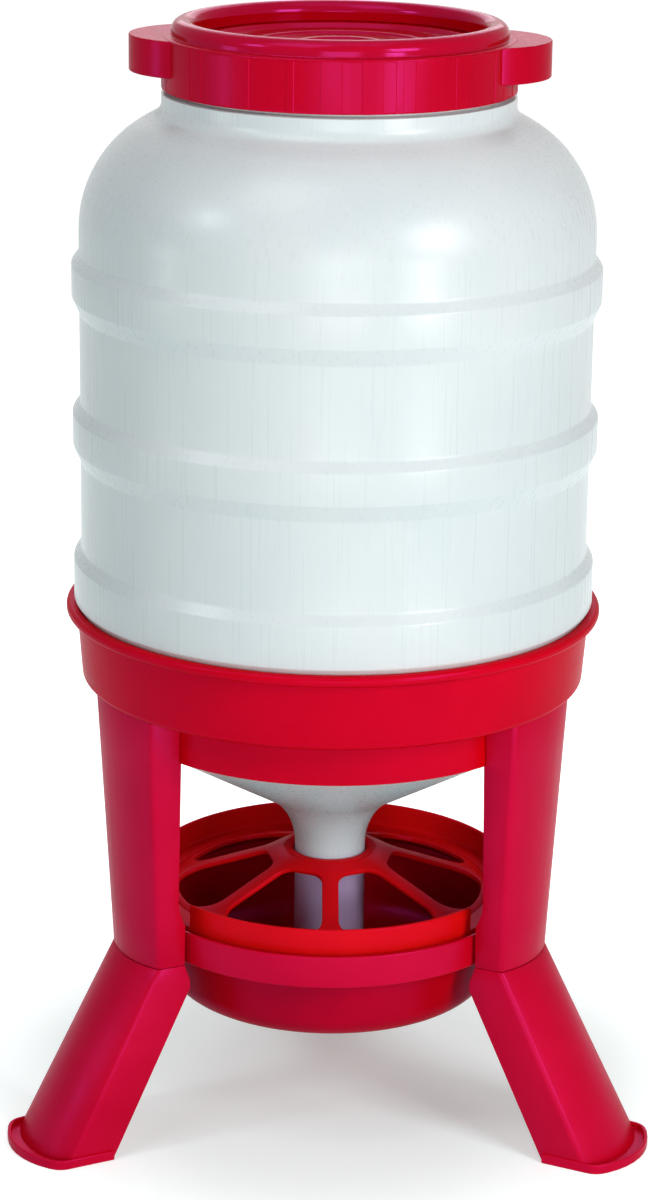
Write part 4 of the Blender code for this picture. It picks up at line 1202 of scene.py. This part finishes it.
lid_thread = make_thread("lid_thread", LID_RADIUS - LID_WALL + THREAD_SINK,
                         LID_RADIUS - LID_WALL - THREAD_DEPTH,
                         NECK_THREAD_Z + THREAD_LEAD / 2, LID_THREAD_TURNS)
finish_piece(lid_thread, SKIRT_FINISH, "lid_red", "screw_ring")
for side in (-1, 1):
    finish_piece(make_ear(side), SKIRT_FINISH, "lid_red", "screw_ring")


# Camera, floor, background and lamps

def make_camera():
    camera = bpy.data.cameras.new("camera")
    holder = bpy.data.objects.new("camera", camera)
    bpy.context.scene.collection.objects.link(holder)
    place = Matrix.Rotation(CAMERA_TURN, 4, "Z") @ Vector((0, -CAMERA_DISTANCE, CAMERA_HEIGHT))
    turn = (Matrix.Rotation(CAMERA_TURN, 4, "Z") @ Matrix.Rotation(pi / 2 - CAMERA_PITCH, 4, "X")
            @ Matrix.Rotation(CAMERA_ROLL, 4, "Z"))
    holder.matrix_world = Matrix.Translation(place) @ turn
    camera.sensor_fit = "VERTICAL"
    camera.sensor_height = FILM_MM
    camera.lens = LENS_MM
    bpy.context.scene.camera = holder


def make_lamp(name, azimuth, elevation, size, level, colour=(1, 1, 1)):
    """A soft square lamp round the feeder. At level 1, one alone lights a white card to white."""
    lamp = bpy.data.lights.new(name, "AREA")
    lamp.shape = "SQUARE"
    lamp.size = size
    lamp.energy = level * (pi * LAMP_DISTANCE) ** 2
    lamp.color = colour
    holder = bpy.data.objects.new(name, lamp)
    aim = Vector((0, 0, LAMP_AIM_Z))
    aside = Matrix.Rotation(radians(azimuth), 3, "Z")
    raised = Matrix.Rotation(-radians(elevation), 3, "X")
    holder.location = aim + aside @ raised @ Vector((0, -LAMP_DISTANCE, 0))
    holder.rotation_euler = (aim - holder.location).to_track_quat("-Z", "Y").to_euler()
    bpy.context.scene.collection.objects.link(holder)


def mix_by_ray(tree, unseen, seen, surface):
    """Shows one shader to the camera, to reflections and to glass, and another to other light."""
    path = tree.nodes.new("ShaderNodeLightPath")
    share = path.outputs["Is Camera Ray"]
    for ray in ("Is Glossy Ray", "Is Transmission Ray"):
        either = tree.nodes.new("ShaderNodeMath")
        either.operation = "MAXIMUM"
        tree.links.new(share, either.inputs[0])
        tree.links.new(path.outputs[ray], either.inputs[1])
        share = either.outputs[0]
    mix = tree.nodes.new("ShaderNodeMixShader")
    tree.links.new(share, mix.inputs["Fac"])
    tree.links.new(unseen.outputs[0], mix.inputs[1])
    tree.links.new(seen.outputs[0], mix.inputs[2])
    tree.links.new(mix.outputs[0], surface)


def make_background(tree, strength):
    background = tree.nodes.new("ShaderNodeBackground")
    background.inputs["Color"].default_value = (1, 1, 1, 1)
    background.inputs["Strength"].default_value = strength
    return background


def make_world():
    """A dim even light, seen as white."""
    world = bpy.data.worlds.new("studio")
    bpy.context.scene.world = world
    world.use_nodes = True
    tree = world.node_tree
    tree.nodes.clear()
    out = tree.nodes.new("ShaderNodeOutputWorld")
    mix_by_ray(tree, make_background(tree, WORLD_LIGHT), make_background(tree, BACKGROUND_WHITE),
               out.inputs["Surface"])


def make_floor():
    """A pale floor that keeps the feeder's shadow and fades to white away from it."""
    bpy.ops.object.select_all(action="DESELECT")
    bpy.ops.mesh.primitive_plane_add(size=FLOOR_SIZE, location=(0, 0, 0))
    floor = start_piece("studio_floor")
    finish, shader = new_finish("floor_finish", FLOOR_COLOUR, 0.9, WHITE_SHEEN)
    shader.inputs["Specular IOR Level"].default_value = 0.0
    nodes = finish.node_tree.nodes
    links = finish.node_tree.links
    glow = add_node(finish, "ShaderNodeEmission", Color=(1, 1, 1, 1))
    place = nodes.new("ShaderNodeTexCoord")
    far = nodes.new("ShaderNodeVectorMath")
    far.operation = "LENGTH"
    fade = add_node(finish, "ShaderNodeMapRange", From_Min=SHADOW_RADIUS,
                    From_Max=OPEN_FLOOR_RADIUS, To_Min=SHADOW_GLOW, To_Max=BACKGROUND_WHITE)
    fade.interpolation_type = "SMOOTHSTEP"
    links.new(place.outputs["Object"], far.inputs[0])
    links.new(far.outputs["Value"], fade.inputs["Value"])
    links.new(fade.outputs["Result"], glow.inputs["Strength"])
    both = nodes.new("ShaderNodeAddShader")
    links.new(shader.outputs[0], both.inputs[0])
    links.new(glow.outputs[0], both.inputs[1])
    mix_by_ray(finish.node_tree, shader, both, nodes["Material Output"].inputs["Surface"])
    floor.data.materials.append(finish)


make_camera()
make_floor()
make_world()
make_lamp("right_lamp", azimuth=43, elevation=25, size=0.8, level=0.39)
make_lamp("right_low_lamp", azimuth=36, elevation=1, size=0.5, level=0.20)
make_lamp("left_low_lamp", azimuth=-78, elevation=1, size=0.5, level=0.05)
make_lamp("left_lamp", azimuth=-62, elevation=33, size=0.45, level=0.12, colour=(0.84, 0.97, 1.0))
make_lamp("left_top_lamp", azimuth=-40, elevation=60, size=1.1, level=0.16)
make_lamp("top_lamp", azimuth=0, elevation=85, size=1.5, level=0.10)
make_lamp("front_lamp", azimuth=0, elevation=5, size=1.0, level=0.22)
make_lamp("back_lamp", azimuth=180, elevation=35, size=1.5, level=0.30)
bpy.context.scene.view_settings.view_transform = "Standard"
